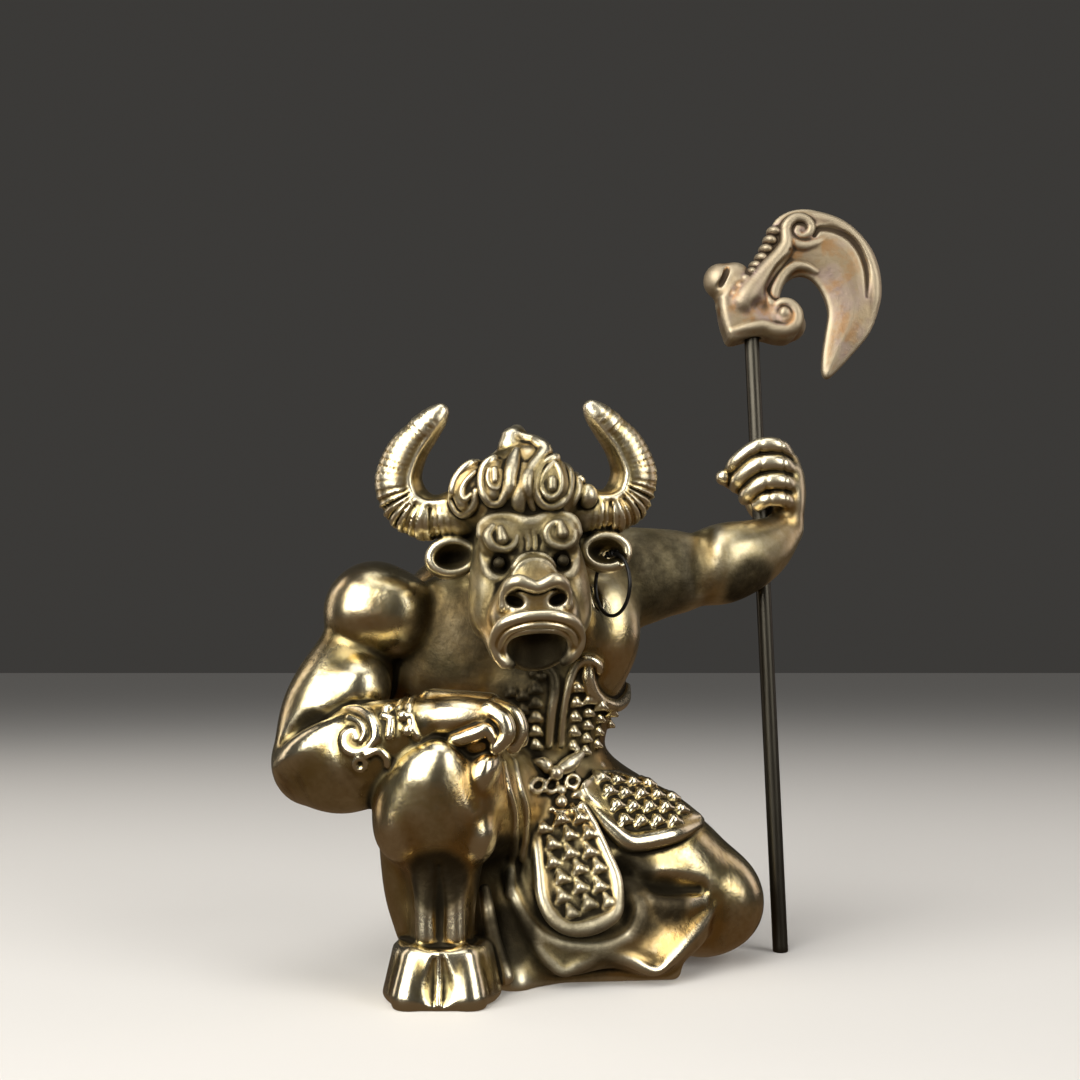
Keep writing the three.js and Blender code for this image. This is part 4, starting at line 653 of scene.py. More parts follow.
def horns(c):
    line = np.array([
        (6.0, 0.5, 5.2, 2.6), (8.6, 0.7, 4.9, 2.75), (11.2, 1.4, 5.0, 3.0), (13.3, 1.9, 6.6, 3.15),
        (14.1, 1.7, 9.5, 2.95), (13.0, 1.0, 12.7, 2.55), (11.1, 0.1, 15.0, 2.05), (9.8, -0.5, 16.3, 1.6),
        (9.0, -0.9, 17.1, 1.05)])
    for s in (-1, 1):
        k = -0.4 if s < 0 else -0.3
        points = line[:, :3] * (s, 1, 1) + (k, 0, 0)
        c.add(horn(points, line[:, 3], (s * 9.6 + k, 0.9, 11.2), 29, 0.38, HEAD), 0.35)
        c.add(limb([(s * 6.0, 0.4, 5.2), (s * 7.4 + k, 0.6, 5.0)], [2.9, 3.0], place=HEAD), 0.5)


def ears(c):
    for s in (-1, 1):
        x = s * 9.3 + 0.5
        c.add(limb([(s * 5.5, 1.2, 0.8), (s * 8, 1.0, 0.1)], [1.9, 1.7], place=HEAD), 0.5)
        c.add(ball((x, 0.6, -0.2), (3.15, 1.9, 2.55), (0, 6 * s, 0), HEAD), 0.5)
        rim = closed_ring(at_depth(ring((x, -0.2), 2.5, 1.9, 16), -0.7))
        c.add(limb(rim, 0.45, 3, HEAD), 0.9)
        c.carve(ball((x - 0.2 * s, -1.7, -0.15), (2.15, 3.3, 1.5), (0, 6 * s, 0), HEAD), 0.35)


def brow_and_eyes(c):
    """Sockets, eyeballs and lids, the scrolls over them, the brow's edge and the frown between."""
    f = HEAD
    for s in (-1, 1):
        c.carve(ball((s * 3.6, -7.6, -1.65), (1.3, 1.6, 1.15), place=f), 0.5)
        c.add(ball((s * 3.65, -7.0, -1.6), 0.68, place=f), 0.1)
        c.add(ball((s * 3.5, -6.4, 1.4), (2.1, 1.5, 1.9), place=f), 0.8)
        lid = [(5.5, -0.6), (5.25, -2.0), (4.5, -3.1), (3.4, -3.4), (2.4, -2.8)]
        on_head(c, [(s * a, b) for a, b in lid], [0.2, 0.3, 0.34, 0.34, 0.2], 0.12, 0.5)
    near = [(-4.3, 2.5), (-4.85, 1.5), (-4.3, 0.4), (-3.0, -0.05), (-1.9, 0.45), (-1.55, 1.4)]
    on_head(c, near, [0.35, 0.56, 0.6, 0.5, 0.4, 0.2], 0.1, 0.25)
    off = [(3.6, 2.9), (2.5, 2.6), (1.85, 1.8), (2.0, 0.8), (2.8, 0.15), (3.9, 0.0), (4.9, 0.6), (5.2, 1.7)]
    on_head(c, off, [0.2, 0.36, 0.42, 0.45, 0.45, 0.42, 0.38, 0.2], 0.1, 0.25)
    for x, z in ((-3.25, 1.1), (3.6, 1.5)):
        on_head(c, [(x - 0.15, z + 1.1), (x, z)], [0.4, 0.66], blend=0.25)
    brow = [(-5.7, 1.8), (-5.5, 2.9), (-4.6, 3.6), (-3.2, 3.8), (-1.6, 3.6), (0.1, 3.1), (1.8, 3.6),
            (3.5, 3.8), (4.8, 3.5), (5.5, 2.7), (5.7, 1.6)]
    on_head(c, brow, 0.42, 0.22, 0.5)
    for x, top in ((-0.75, 1.2), (0.05, 1.9), (0.85, 1.4)):
        on_head(c, [(x, top), (x + 0.15, 0.6), (x, -0.2)], [0.06, 0.16, 0.1], 0, 0.3, True)


def muzzle(c):
    """Bridge of the nose with its fold, nostrils, and the drooping upper lip over the open mouth."""
    f = HEAD
    c.add(slab((0, -8.1, -2.8), (2.35, 1.7, 1.9), (34, 0, 0), 1.4, f), 0.9)
    for rise, radius in ((0, 0.26), (-0.75, 0.22)):
        fold = [(-2.3, -2.3 + rise), (-1.4, -1.2 + rise), (0.1, -0.75 + rise), (1.6, -1.2 + rise),
                (2.5, -2.3 + rise)]
        on_head(c, fold, radius)
    half = [(3.3, -10.5, -5.5, 0.7), (2.9, -11.3, -4.5, 0.8), (2.0, -11.9, -4.1, 0.85),
            (0.9, -12.0, -4.5, 0.8)]
    nose = mirrored(half, (0, -12.0, -4.8, 0.75))
    c.add(limb(nose[:, :3], nose[:, 3], 4, f), 0.6)
    for s in (-1, 1):
        c.add(limb([(s * 3.45, -10.6, -5.4), (s * 3.65, -10.4, -6.7)], 0.48, place=f), 0.5)
        c.carve(ball((s * 2.4, -12.0, -6.15), (1.15, 2.5, 0.75), (0, -20 * s, 0), f), 0.3)
    c.carve(ball((0.1, -11.0, -11.2), (3.9, 3.6, 3.0), place=f), 0.3)
    c.carve(limb([(0.1, -10, -11.5), (0.1, -9.5, -16)], [3.2, 3.4], place=f), 0.3)
    lip = [(-3.7, -9.2, -13.0), (-4.5, -9.5, -12.0), (-4.8, -9.9, -10.4), (-4.0, -11.2, -8.8),
           (-2.3, -12.2, -8.1), (0, -12.5, -7.9), (2.3, -12.2, -8.1), (4.0, -11.2, -8.8),
           (4.8, -9.9, -10.2), (4.7, -9.5, -11.4), (4.1, -9.2, -12.2)]
    c.add(limb(lip, [0.6, 0.58, 0.6, 0.72, 0.7, 0.62, 0.7, 0.72, 0.6, 0.58, 0.6], 4, f), 0.3)
    inner = np.array(lip[1:-1]) * (0.9, 1, 1) + (0, 0.1, -1.0)
    c.add(limb(inner, 0.36, 4, f), 0.1)
    gum = [(-3.2, -8.9, -13.1), (-3.8, -9.4, -11.6), (-3.5, -10.2, -10.3), (-2.2, -11.0, -9.6),
           (0, -11.4, -9.4), (2.2, -11.0, -9.6), (3.5, -10.2, -10.3), (3.8, -9.4, -11.4),
           (3.4, -9.0, -12.5)]
    c.add(limb(gum, 0.45, 4, f), 0.2)
    for s in (-1, 1):
        c.add(limb([(s * 3.6, -9.0, -12.6), (s * 3.0, -8.9, -13.0)], [0.7, 0.6], place=f), 0.3)


def mirrored(half, middle):
    """Rows for the whole width: the half turned over in x, the middle row, and the half again."""
    half = np.array(half, float)
    return np.vstack([half * (-1, 1, 1, 1), [middle], half[::-1]])


def mane():
    """For each of seven locks, how far aside it lies, from -1 to 1, and how far it sways in millimetres."""
    return [((n - 3) / 3, 0.6 * np.sin(n * 2.0)) for n in range(7)]


def hair(c):
    """Three curls and a flame of locks between them, a knob on top, and locks down the nape."""
    f = HEAD
    puffs = [([(-6.2, 9.2), (-7.2, 7.4), (-6.9, 6.0)], 1.3),
             ([(-3.7, 9.4), (-3.9, 7.6), (-3.9, 6.6)], 1.35),
             ([(3.2, 9.2), (3.0, 7.4), (2.7, 6.3)], [1.6, 1.9, 1.8])]
    for line, radii in puffs:
        on_head(c, line, radii, 0.75, 0.5)
    bands = [([(-5.4, 10.6), (-6.7, 10.0), (-8.0, 8.6), (-8.5, 6.8), (-8.1, 5.2), (-7.1, 4.5), (-6.1, 5.3),
               (-5.8, 6.8)], 0.52),
             ([(-5.9, 9.1), (-7.0, 8.0), (-7.5, 6.8), (-7.1, 6.0), (-6.4, 6.5)], 0.34),
             ([(-3.5, 10.8), (-4.7, 9.8), (-5.2, 8.2), (-5.1, 6.6), (-4.4, 5.4), (-3.3, 5.3), (-2.7, 6.2),
               (-2.4, 7.4)], 0.52),
             ([(-4.3, 9.3), (-4.55, 8.1), (-4.2, 7.1), (-3.5, 6.9), (-3.1, 7.7), (-3.0, 9.1)], 0.24),
             ([(-3.7, 9.2), (-3.75, 7.9)], 0.36),
             ([(3.6, 10.6), (2.1, 9.7), (1.1, 8.2), (0.8, 6.6), (1.6, 5.1), (2.9, 4.7), (4.3, 5.6),
               (5.1, 7.4), (5.3, 9.3), (4.7, 10.6)], 0.56),
             ([(3.2, 9.9), (2.1, 8.6), (1.6, 7.2), (1.9, 6.1), (2.7, 5.6), (3.6, 6.3), (3.9, 7.6),
               (3.7, 9.1), (3.2, 9.9)], 0.32),
             ([(2.8, 7.7), (2.75, 6.8)], 0.5)]
    for line, radius in bands:
        on_head(c, line, radius, blend=0.1)
    locks = [([(-0.9, 11.6), (-1.4, 10.0), (-1.8, 8.4), (-2.0, 7.0), (-2.3, 5.6)],
              [0.5, 0.9, 0.95, 0.8, 0.3]),
             ([(-0.2, 9.6), (-0.6, 7.4), (-1.1, 5.6), (-0.9, 4.2)], [0.5, 0.85, 0.95, 0.6]),
             ([(0.2, 13.3), (1.5, 12.7), (2.4, 11.5), (1.8, 10.4), (0.7, 9.2), (-0.1, 7.7), (0, 6.1),
               (0.6, 4.5)], [0.8, 1.0, 1.05, 0.95, 0.85, 0.75, 0.65, 0.4]),
             ([(5.4, 10.6), (6.2, 8.8), (6.2, 7.0), (5.6, 5.4)], [0.4, 0.6, 0.65, 0.4]),
             ([(6.7, 8.4), (7.3, 7.4), (7.5, 6.2)], [0.4, 0.6, 0.6])]
    for line, radii in locks:
        on_head(c, line, radii, 0.25, 0.15)
    c.add(limb([(-1.1, -1.8, 13.6), (-1.3, -2.0, 12.6)], [1.3, 1.5], place=f), 0.6)
    c.add(ball((7.4, -2.6, 6.3), (1.3, 1.4, 1.5), place=f), 0.3)
    c.add(ball((0, 3.5, 6.0), (6.4, 5.0, 6.0), place=f), 1.0)
    for a, sway in mane():
        lock = [(a, 0.0, 13.2), (a * 3.0, 3.0, 11.2), (a * 5.4, 6.6, 7.6), (a * 5.8 + sway, 8.6, 3.4),
                (a * 5.0 - sway, 10.6, -1.2), (a * 3.2 + sway, 13.0, -5.5), (a, 15.2, -8.8)]
        c.add(limb(lock, [0.6, 1.1, 1.25, 1.25, 1.2, 1.0, 0.5], 5, f), 0.22)


def resting_fist(c):
    """The near fist on the knee: the back of the hand, three fingers, the groove under them, the thumb."""
    c.add(slab((-9.2, -8.0, 32.6), (4.8, 4.2, 1.7), (0, 4, 0), 1.5), 1.0)
    c.add(limb([(-13.2, -11.8, 30.9), (-9.4, -12.6, 31.3), (-6.4, -13.0, 31.2)], [2.2, 2.35, 2.1], 6), 0.3)
    c.add(ball((-7.2, -12.2, 29.4), (3.4, 2.6, 2.6)), 0.4)
    fingers = [([(-5.6, -14.0, 32.2), (-4.1, -14.7, 31.2), (-3.7, -14.8, 29.6), (-4.8, -14.8, 28.2)],
                [1.05, 1.05, 1.0, 0.85]),
               ([(-5.0, -12.2, 32.6), (-3.0, -12.9, 31.7), (-2.3, -12.9, 29.9), (-3.0, -13.0, 28.2)],
                [1.05, 1.05, 1.0, 0.9]),
               ([(-4.6, -10.4, 32.4), (-2.6, -11.0, 31.0), (-2.2, -11.0, 28.8)], [1.0, 1.0, 0.9])]
    for joints, radii in fingers:
        c.add(limb(joints, radii, 6), 0.25)
    c.carve(limb([(-7.2, -15.6, 30.7), (-5.8, -16.0, 30.5)], [0.55, 0.65]), 0.3)
    thumb = [(-9.4, -14.0, 28.9), (-7.4, -14.9, 29.6), (-5.9, -15.1, 30.1), (-5.2, -15.1, 29.2)]
    c.add(limb(thumb, [0.95, 0.9, 0.8, 0.6], 5), 0.25)


def bracer(c):
    """Sleeve of the near forearm with a raised scroll, small curls, studs and two cuff rings."""
    y = SLEEVE_FRONT
    fold = [(-29.8, 28.2), (-28.2, 29.4), (-26.2, 30.5), (-24.0, 31.4), (-21.8, 32.4)]
    on_front(c, fold, [0.4, 1.0, 1.25, 0.9, 0.3], y, blend=1.4, cut=True)
    forearm = [(-29.6, 25.6), (-27.9, 26.8), (-25.6, 28.4), (-23.0, 30.0)]
    on_front(c, forearm, [0.8, 1.6, 1.6, 0.8], y, 0.9, 2.4)
    c.add(limb([(-20.6, -8.0, 27.2), (-17.5, -9.6, 28.6), (-14.0, -11.3, 30.2)], [5.5, 4.7, 3.3], 6), 0.4)
    volute = [(-22.6, 32.2), (-21.0, 32.3), (-19.5, 31.8), (-18.5, 30.7), (-18.2, 29.3), (-19.1, 28.0),
              (-20.5, 27.5), (-21.7, 28.2), (-21.8, 29.4), (-20.9, 29.9), (-20.4, 29.2)]
    thick = [0.35, 0.5, 0.6, 0.66, 0.66, 0.6, 0.56, 0.5, 0.46, 0.42, 0.42]
    on_front(c, volute, thick, y, 0.25, 0.4)
    on_front(c, [(-21.6, 31.4), (-20.2, 30.9), (-19.5, 29.8), (-19.9, 28.8)], 0.36, y, blend=0.1)
    on_front(c, [(-19.2, 27.3), (-18.0, 27.8), (-17.1, 27.1), (-16.9, 26.2)], 0.42, y, blend=0.12)
    on_front(c, ring((-20.0, 26.3), 0.65, 0.65, 8), 0.32, y, blend=0.1, closed=True)
    spots, met = c.land(at_depth([(-17.0, 32.3), (-15.2, 31.6), (-14.6, 30.0)], y), FRONT)
    for spot in spots[met]:
        c.add(ball(spot, 0.7), 0.15)
    on_front(c, [(-17.4, 31.6), (-16.6, 31.2), (-16.7, 29.4)], 0.5, y, blend=0.15)
    cuff = Place((-13.2, -11.6, 30.6), (0, -20, -20))
    for x, radius, thick in ((0, 3.0, 0.5), (-1.2, 3.3, 0.4)):
        hoop = closed_ring([(x, a, b) for a, b in ring((0, 0), radius, radius, 16)])
        c.add(limb(hoop, thick, place=cuff), 0.15)


def staff_hand(c):
    """Four fingers with creased joints round the pole, the fold in the elbow, and the thumb."""
    fingers = [([(34.7, 15.2, 64.9), (32.4, 12.0, 66.4), (29.4, 11.7, 66.4), (26.8, 12.6, 64.6),
                 (26.2, 13.9, 63.5)], 1.08),
               ([(35.2, 15.0, 62.8), (32.6, 11.8, 64.0), (29.4, 11.5, 63.9), (27.2, 12.7, 62.2),
                 (26.9, 14.0, 61.4)], 1.16),
               ([(35.3, 15.0, 60.5), (32.8, 11.8, 61.6), (30.1, 11.5, 61.5), (28.3, 12.5, 60.2),
                 (28.0, 13.6, 59.7)], 1.12),
               ([(34.9, 15.0, 58.3), (32.8, 12.0, 59.3), (30.6, 11.7, 59.2), (29.5, 12.5, 58.6)], 1.0)]
    for joints, radius in fingers:
        taper = np.interp(np.arange(len(joints)), [0, 1, len(joints) - 1], [0.75, 1, 0.88]) * radius
        c.add(limb(np.array(joints) - ((0.35, 0, 0),), taper, 6), 0.6)
        for x, _, z in joints[1:3]:
            c.draw([(x, 6, z + 1.0), (x - 0.1, 6, z - 1.0)], 0.05, FRONT, sink=-0.03, blend=0.35, cut=True)
    elbow = [(21.6, 55.0), (20.9, 52.4), (20.6, 49.8), (20.8, 47.0)]
    on_front(c, elbow, [0.2, 0.6, 0.6, 0.2], -2, -0.5, 2.0, True)
    c.add(limb([(32, 17.4, 59.4), (28, 17.2, 61.6), (24.9, 14.3, 62.6)], [1.7, 1.25, 1.0], 6), 0.25)
    c.add(ball((24.8, 14.2, 62.6), 1.05), 0.2)


def apron_folds(c):
    """Hem, U-shaped fold under the oval tasset, the fold that meets the knee, and two robe edges."""
    hem = [(-3.4, -4.2, 14.0), (-2.9, -4.7, 11.6), (-2.0, -5.2, 9.0), (-0.6, -5.6, 5.9), (1.2, -5.9, 3.2),
           (2.8, -6.0, 2.1), (5.0, -5.7, 3.0), (7.2, -5.3, 4.0), (9.8, -5.0, 3.4), (13.2, -4.8, 1.9),
           (15.6, -3.2, 3.2), (17.6, -1.2, 4.9), (19.8, 1.0, 6.8), (21.2, 2.6, 8.4)]
    radii = [0.48, 0.48, 0.52, 0.56, 0.6, 0.6, 0.52, 0.52, 0.56, 0.6, 0.56, 0.6, 0.64, 0.4]
    c.add(limb(hem, radii, 5), 0.9)
    y = APRON_FRONT
    fold = [(-3.0, 12.4), (-2.0, 9.6), (-0.2, 7.3), (2.3, 6.0), (5.2, 5.4), (7.9, 5.5), (10.2, 6.4),
            (11.3, 8.2), (11.0, 10.0)]
    on_front(c, fold, [0.4, 0.6, 0.8, 0.95, 1.0, 1.0, 1.0, 0.8, 0.4], y, 0.6, 1.6)
    groove = [(-2.9, 14.0), (-2.2, 11.8), (-1.0, 9.4), (1.4, 7.2), (4.6, 6.4), (7.6, 6.5), (9.6, 7.4),
              (10.4, 9.6), (10.0, 12.5)]
    on_front(c, groove, 0.75, y, blend=1.2, cut=True)
    hollow = [(9.8, 13.6), (12.2, 11.4), (15.6, 10.6), (19.2, 10.2)]
    on_front(c, hollow, [0.7, 1.1, 1.2, 0.5], y, blend=1.5, cut=True)
    lap = [(10.4, 11.2), (13.4, 9.3), (16.6, 8.6), (19.4, 8.7)]
    on_front(c, lap, [0.4, 0.7, 0.8, 0.4], y, 0.5, 1.6)
    side = [(-6.4, -6.4, 11.4), (-5.9, -6.8, 8.4), (-5.1, -7.4, 5.2), (-3.9, -7.8, 2.0)]
    c.add(limb(side, [0.7, 0.85, 0.9, 0.95], 6), 0.6)
    outer = [(-4.2, 26.0), (-3.6, 23.1), (-2.9, 20.1), (-3.0, 17.0), (-3.3, 13.6), (-3.6, 10.6)]
    on_front(c, outer, [0.3, 0.4, 0.42, 0.42, 0.4, 0.3], KNEE_FRONT, 0.12, 0.5)
    inner = [(-3.0, 26.0), (-2.3, 23.1), (-1.6, 20.4), (-1.7, 17.4), (-2.1, 14.6)]
    on_front(c, inner, [0.3, 0.36, 0.36, 0.36, 0.3], KNEE_FRONT, 0.12, 0.5)


def scales(c, points, place, size, lean=0.0):
    """Raised scales: three arms from a thick middle, one up and two down, landed on the surface.
    lean turns them in degrees."""
    toward = place.matrix @ np.array(FRONT, float)
    spots, met = c.land(place.put(points), toward, 0.12)
    for p in spots[met]:
        for angle, reach in ((100, 0.95), (212, 0.85), (335, 0.85)):
            t = np.radians(angle + lean)
            arm = place.matrix @ np.array([np.cos(t), 0, np.sin(t)]) * size * reach
            c.add(limb([p - toward * size * 0.1, p + arm], [size * 0.64, size * 0.36]), 0.2)


def chest_armour(c):
    """Hooked lapels, the rim and scales of the breast armour, the belt knot and its beads."""
    near = [(-0.9, 36.2), (-0.6, 37.1), (0.6, 37.0), (1.6, 36.0), (1.8, 34.2), (1.4, 31.3), (1.1, 27.6)]
    on_front(c, near, [0.55, 0.6, 0.65, 0.65, 0.6, 0.55, 0.45], BREAST_FRONT)
    c.add(ball((0.2, -1.7, 35.9), (0.7, 0.6, 0.6)), 0.2)
    off = [(7.2, 36.6), (6.9, 37.5), (5.6, 37.9), (4.4, 37.0), (3.7, 35.4), (3.2, 33.5), (2.8, 31.0),
           (2.6, 27.6)]
    on_front(c, off, [0.5, 0.6, 0.65, 0.55, 0.5, 0.45, 0.4, 0.35], BREAST_FRONT)
    rim = [(5.9, -1.2, 37.2), (5.9, -1.0, 35.6), (6.3, -0.3, 34.1), (7.4, 1.0, 32.9), (9.2, 3.6, 32.3),
           (10.6, 6.4, 33.0), (11.2, 8.6, 34.6)]
    c.add(limb(rim, [0.7, 0.85, 0.95, 0.95, 0.95, 0.9, 0.5], 6), 0.25)
    columns = [((4.5, 34.6), (4.0, 27.4), 5), ((6.0, 33.1), (5.5, 26.8), 5), ((7.5, 32.3), (7.0, 27.5), 4),
               ((8.9, 31.4), (8.5, 28.4), 3), ((-0.5, 34.4), (-0.5, 27.6), 5),
               ((-2.0, 33.6), (-2.0, 28.4), 4), ((-3.4, 34.0), (-3.4, 30.0), 3)]
    for top, bottom, count in columns:
        scales(c, at_depth(np.linspace(top, bottom, count), BREAST_FRONT), WORLD, 0.85)
    c.add(limb([(-1.9, -1.0, 25.1), (0.4, -1.6, 25.4), (0.9, -1.8, 24.7)], [0.4, 0.9, 0.7], 3), 0.2)
    c.add(limb([(2.4, -1.7, 24.8), (3.6, -0.9, 25.4), (5.0, 0.0, 26.5)], [0.7, 1.0, 0.5], 3), 0.2)
    c.add(ball((1.9, -2.2, 24.4), 0.9), 0.15)
    for x, z in ((-0.3, 23.1), (1.3, 22.9), (3.9, 23.3)):
        on_front(c, ring((x, z), 0.8, 0.7, 8), 0.34, -8, -0.15, 0.1, closed=True)
    beads = [(2.5, 22.3, 0.72), (2.5, 21.0, 0.85), (2.6, 19.6, 0.72), (3.8, 20.5, 0.42), (4.2, 21.7, 0.45),
             (3.6, 19.2, 0.4), (1.4, 20.2, 0.4)]
    for x, z, radius in beads:
        spots, met = c.land([(x, -9, z)], FRONT)
        if met[0]:
            c.add(ball(spots[0], radius), 0.1)


def tassets(c):
    """The oval plate that hangs in front and the plate that lies on the thigh, rimmed and scaled."""
    half = [(-2.9, 6.6), (-3.7, 4.0), (-4.3, 0.5), (-4.75, -2.4), (-4.3, -4.7), (-3.0, -6.3), (-1.2, -7.0),
            (0.9, -7.0), (2.8, -6.3), (4.1, -4.7), (4.6, -2.4), (4.3, 0.5), (3.8, 4.0), (3.1, 6.8)]
    c.add(plate(curve(half, 2), 1.0, 1.5, 0.3, TASSET), 0.3)
    thick = [0.5, 0.6, 0.68, 0.75, 0.85, 0.9, 0.95, 0.95, 0.9, 0.8, 0.65, 0.5, 0.4, 0.3]
    line = [(x - 0.45 * (x > 3), -0.2, z) for x, z in half]
    c.add(limb(line, thick, 4, TASSET), 0.5)
    rows = []
    for row in range(6):
        for column in range(-1, 2):
            x = column * 2.25 + (0.25 if row % 2 else -0.25)
            z = 5.2 - row * 2.05 + (0.5 if column == 0 else 0)
            if abs(x) < 3.6 and z > -5.6:
                rows.append((x, -5, z))
    scales(c, rows, TASSET, 1.0)
    lying = [(-7.9, 1.5), (-4.8, 4.1), (-1.6, 4.6), (2.0, 3.5), (5.3, 1.7), (8.8, -1.5), (3.9, -4.0),
             (-0.1, -4.4), (-2.7, -4.6), (-4.8, -2.7), (-7.5, 0.3)]
    c.coat(lying, -9, 6, 0.95, 0.3, THIGH)
    rim = [(4.7, -1.3, 21.9), (6.4, -1.7, 19.8), (8.4, -2.0, 17.9), (10.5, -2.0, 16.3), (12.9, -1.0, 16.3),
           (16.4, 0.6, 16.9), (19.2, 3.9, 17.6), (20.2, 5.6, 18.0)]
    c.add(limb(rim, [0.5, 0.8, 1.0, 1.15, 1.2, 1.1, 0.8, 0.45], 5), 0.35)
    for row in range(4):
        for column in range(6):
            spot = (-4.7 + column * 2.15 + row * 0.55, 2.9 - row * 1.85 - column * 0.15)
            if to_outline(lying, *np.array(spot)) < -0.9:
                scales(c, at_depth([spot], -9), THIGH, 1.15, 12)


def back(c):
    """Locks of the mane down the nape, spine and shoulder-blade grooves, the belt's band and the folds."""
    for a, sway in mane():
        lock = [(a * 4.4, 8.5, 62.5), (a * 5.6, 14.5, 61.5), (a * 6.2 + sway, 20.5, 60.0),
                (a * 5.6 - sway, 25.0, 57.5), (a * 3.6, 28.0, 54.5), (a * 1.2, 29.5, 51.6)]
        lock = [(x - 1.8, y, z) for x, y, z in lock]
        c.draw(lock, [0.8, 1.15, 1.2, 1.15, 1.0, 0.3], SLANT, sink=0.35, blend=0.22)
    spine = at_depth([(-2.0, 46.0), (-1.4, 40), (-0.4, 34), (0.6, 28)], BACK_REAR)
    c.draw(spine, [0.6, 1.0, 1.0, 0.7], REAR, sink=-0.7, blend=2.4, cut=True)
    for s, x in ((-1, -9.5), (1, 6.2)):
        edge = [(x - s * 2.2, 46.0), (x - s * 0.4, 43.5), (x + s * 0.2, 40.8), (x, 38.0)]
        c.draw(at_depth(edge, BACK_REAR), [0.5, 1.0, 1.0, 0.5], REAR, sink=-0.8, blend=2.4, cut=True)
    t = np.linspace(-2.0, 2.0, 15)
    band = np.column_stack([0.9 + 7 * np.sin(t), 7.2 + 7 * np.cos(t), 24.2 - 0.8 * np.cos(t)])
    c.add(limb(band, 0.95, 2), 0.2)
    for x, z in ((-8.0, 2.0), (-3.6, 1.6), (1.4, 1.4), (6.4, 1.6), (11.0, 2.4)):
        fold = [(1.2 + (x - 1.2) * t, 37, 22.5 - (22.5 - z) * t) for t in (0.25, 0.5, 0.75, 1.0)]
        c.draw(fold, [0.1, 0.6, 0.9, 1.0], REAR, sink=-0.35, blend=1.6, cut=True)


def round_ear_ring(t):
    """Directions from the ear ring's middle at angles from the level, in its plane."""
    turn = np.radians(EAR_RING_TURN)
    return np.column_stack([np.cos(t) * np.cos(turn), np.cos(t) * np.sin(turn), np.sin(t)])


def ear_ring_line(count):
    """The ear wire's middle line: a circle turned about the upright axis."""
    t = np.arange(count) * 2 * np.pi / count
    return np.array(EAR_RING_MIDDLE) + round_ear_ring(t) * EAR_RING_RADIUS


def clear_pole(c):
    c.carve(limb([ROD_FOOT, ROD_TOP], ROD_RADIUS + CLEARANCE), 0.1)


def shaped(box, step, masses, carving):
    """Clay with its masses put together, rounded, carved, and cleared for the pole and the ear wire."""
    c = Clay(*box, step)
    for mass in masses:
        mass(c)
    c.soften(round((CAST_ROUNDING / step) ** 2 * 4))
    for work in carving:
        work(c)
    clear_pole(c)
    c.carve(limb(closed_ring(ear_ring_line(20)), EAR_HOLE_RADIUS), 0.1)
    return c


def body_clay():
    masses = (torso, cloth, kneeling_leg, standing_leg, resting_arm, staff_arm)
    carving = (legs, resting_fist, bracer, staff_hand, apron_folds, chest_armour, tassets, back)
    c = shaped(BODY_BOX, BODY_STEP, masses, carving)
    floor = Shape((-40, -40, -2), (60, 60, 2), lambda x, y, z: z + 0 * x * y)
    c.work(floor, 0, lambda old, gap: np.maximum(old, -gap))
    return c


def head_clay():
    carving = (horns, ears, brow_and_eyes, muzzle, hair)
    return shaped(HEAD_BOX, HEAD_STEP, (head_mass,), carving)


# The blade


def both(c, points, radii, out, blend, cut=False, bend=5):
    """The same ridge or groove on the two faces of the blade; points are [x, z]."""
    for s in (-1, 1):
        shape = limb(at_depth(points, BLADE_MIDDLE + s * out), radii, bend)
        (c.carve if cut else c.add)(shape, blend)


def closed_curve(outline):
    return curve(closed_ring(outline), 3)[:-1]


def crescent(c):
    """The blade's swelling crescent with a raised outer rim and the groove inside it."""
    outline = [(31.6, 95.6), (31.8, 97.2), (32.6, 98.6), (34.2, 99.6), (36.2, 100.0), (38.4, 99.7),
               (41.5, 98.5), (44.2, 96.3), (46.0, 93.6), (46.8, 90.2), (46.6, 86.6), (45.2, 82.7),
               (42.9, 79.8), (40.4, 77.1), (39.2, 76.2), (38.5, 77.0), (38.6, 79.8), (39.1, 82.8),
               (39.5, 85.4), (38.8, 88.0), (37.4, 90.0), (35.8, 90.6), (34.2, 90.0), (32.8, 88.5),
               (31.9, 86.6), (30.0, 86.0), (28.6, 87.6), (29.4, 91.4), (30.9, 94.0)]
    c.add(lens(closed_curve(outline), BLADE_MIDDLE, 0.42, 0.95, 3.4))
    c.soften(1)
    rim = [(37.0, 98.9), (39.2, 98.5), (41.4, 97.5), (43.2, 95.9), (44.6, 93.9), (45.5, 91.6), (45.9, 89.2),
           (45.8, 87.0), (45.2, 84.6)]
    both(c, rim, [0.6, 0.85, 0.95, 1.0, 1.0, 0.95, 0.9, 0.8, 0.4], 0.35, 0.3)
    groove = [(37.6, 96.0), (38.3, 96.9), (39.6, 97.0), (40.9, 96.6), (42.3, 95.8), (43.4, 94.6),
              (44.2, 93.0), (44.7, 91.2), (44.8, 89.4), (44.7, 87.4)]
    both(c, groove, [0.3, 0.45, 0.5, 0.5, 0.5, 0.5, 0.45, 0.45, 0.4, 0.25], 1.3, 0.25, True)


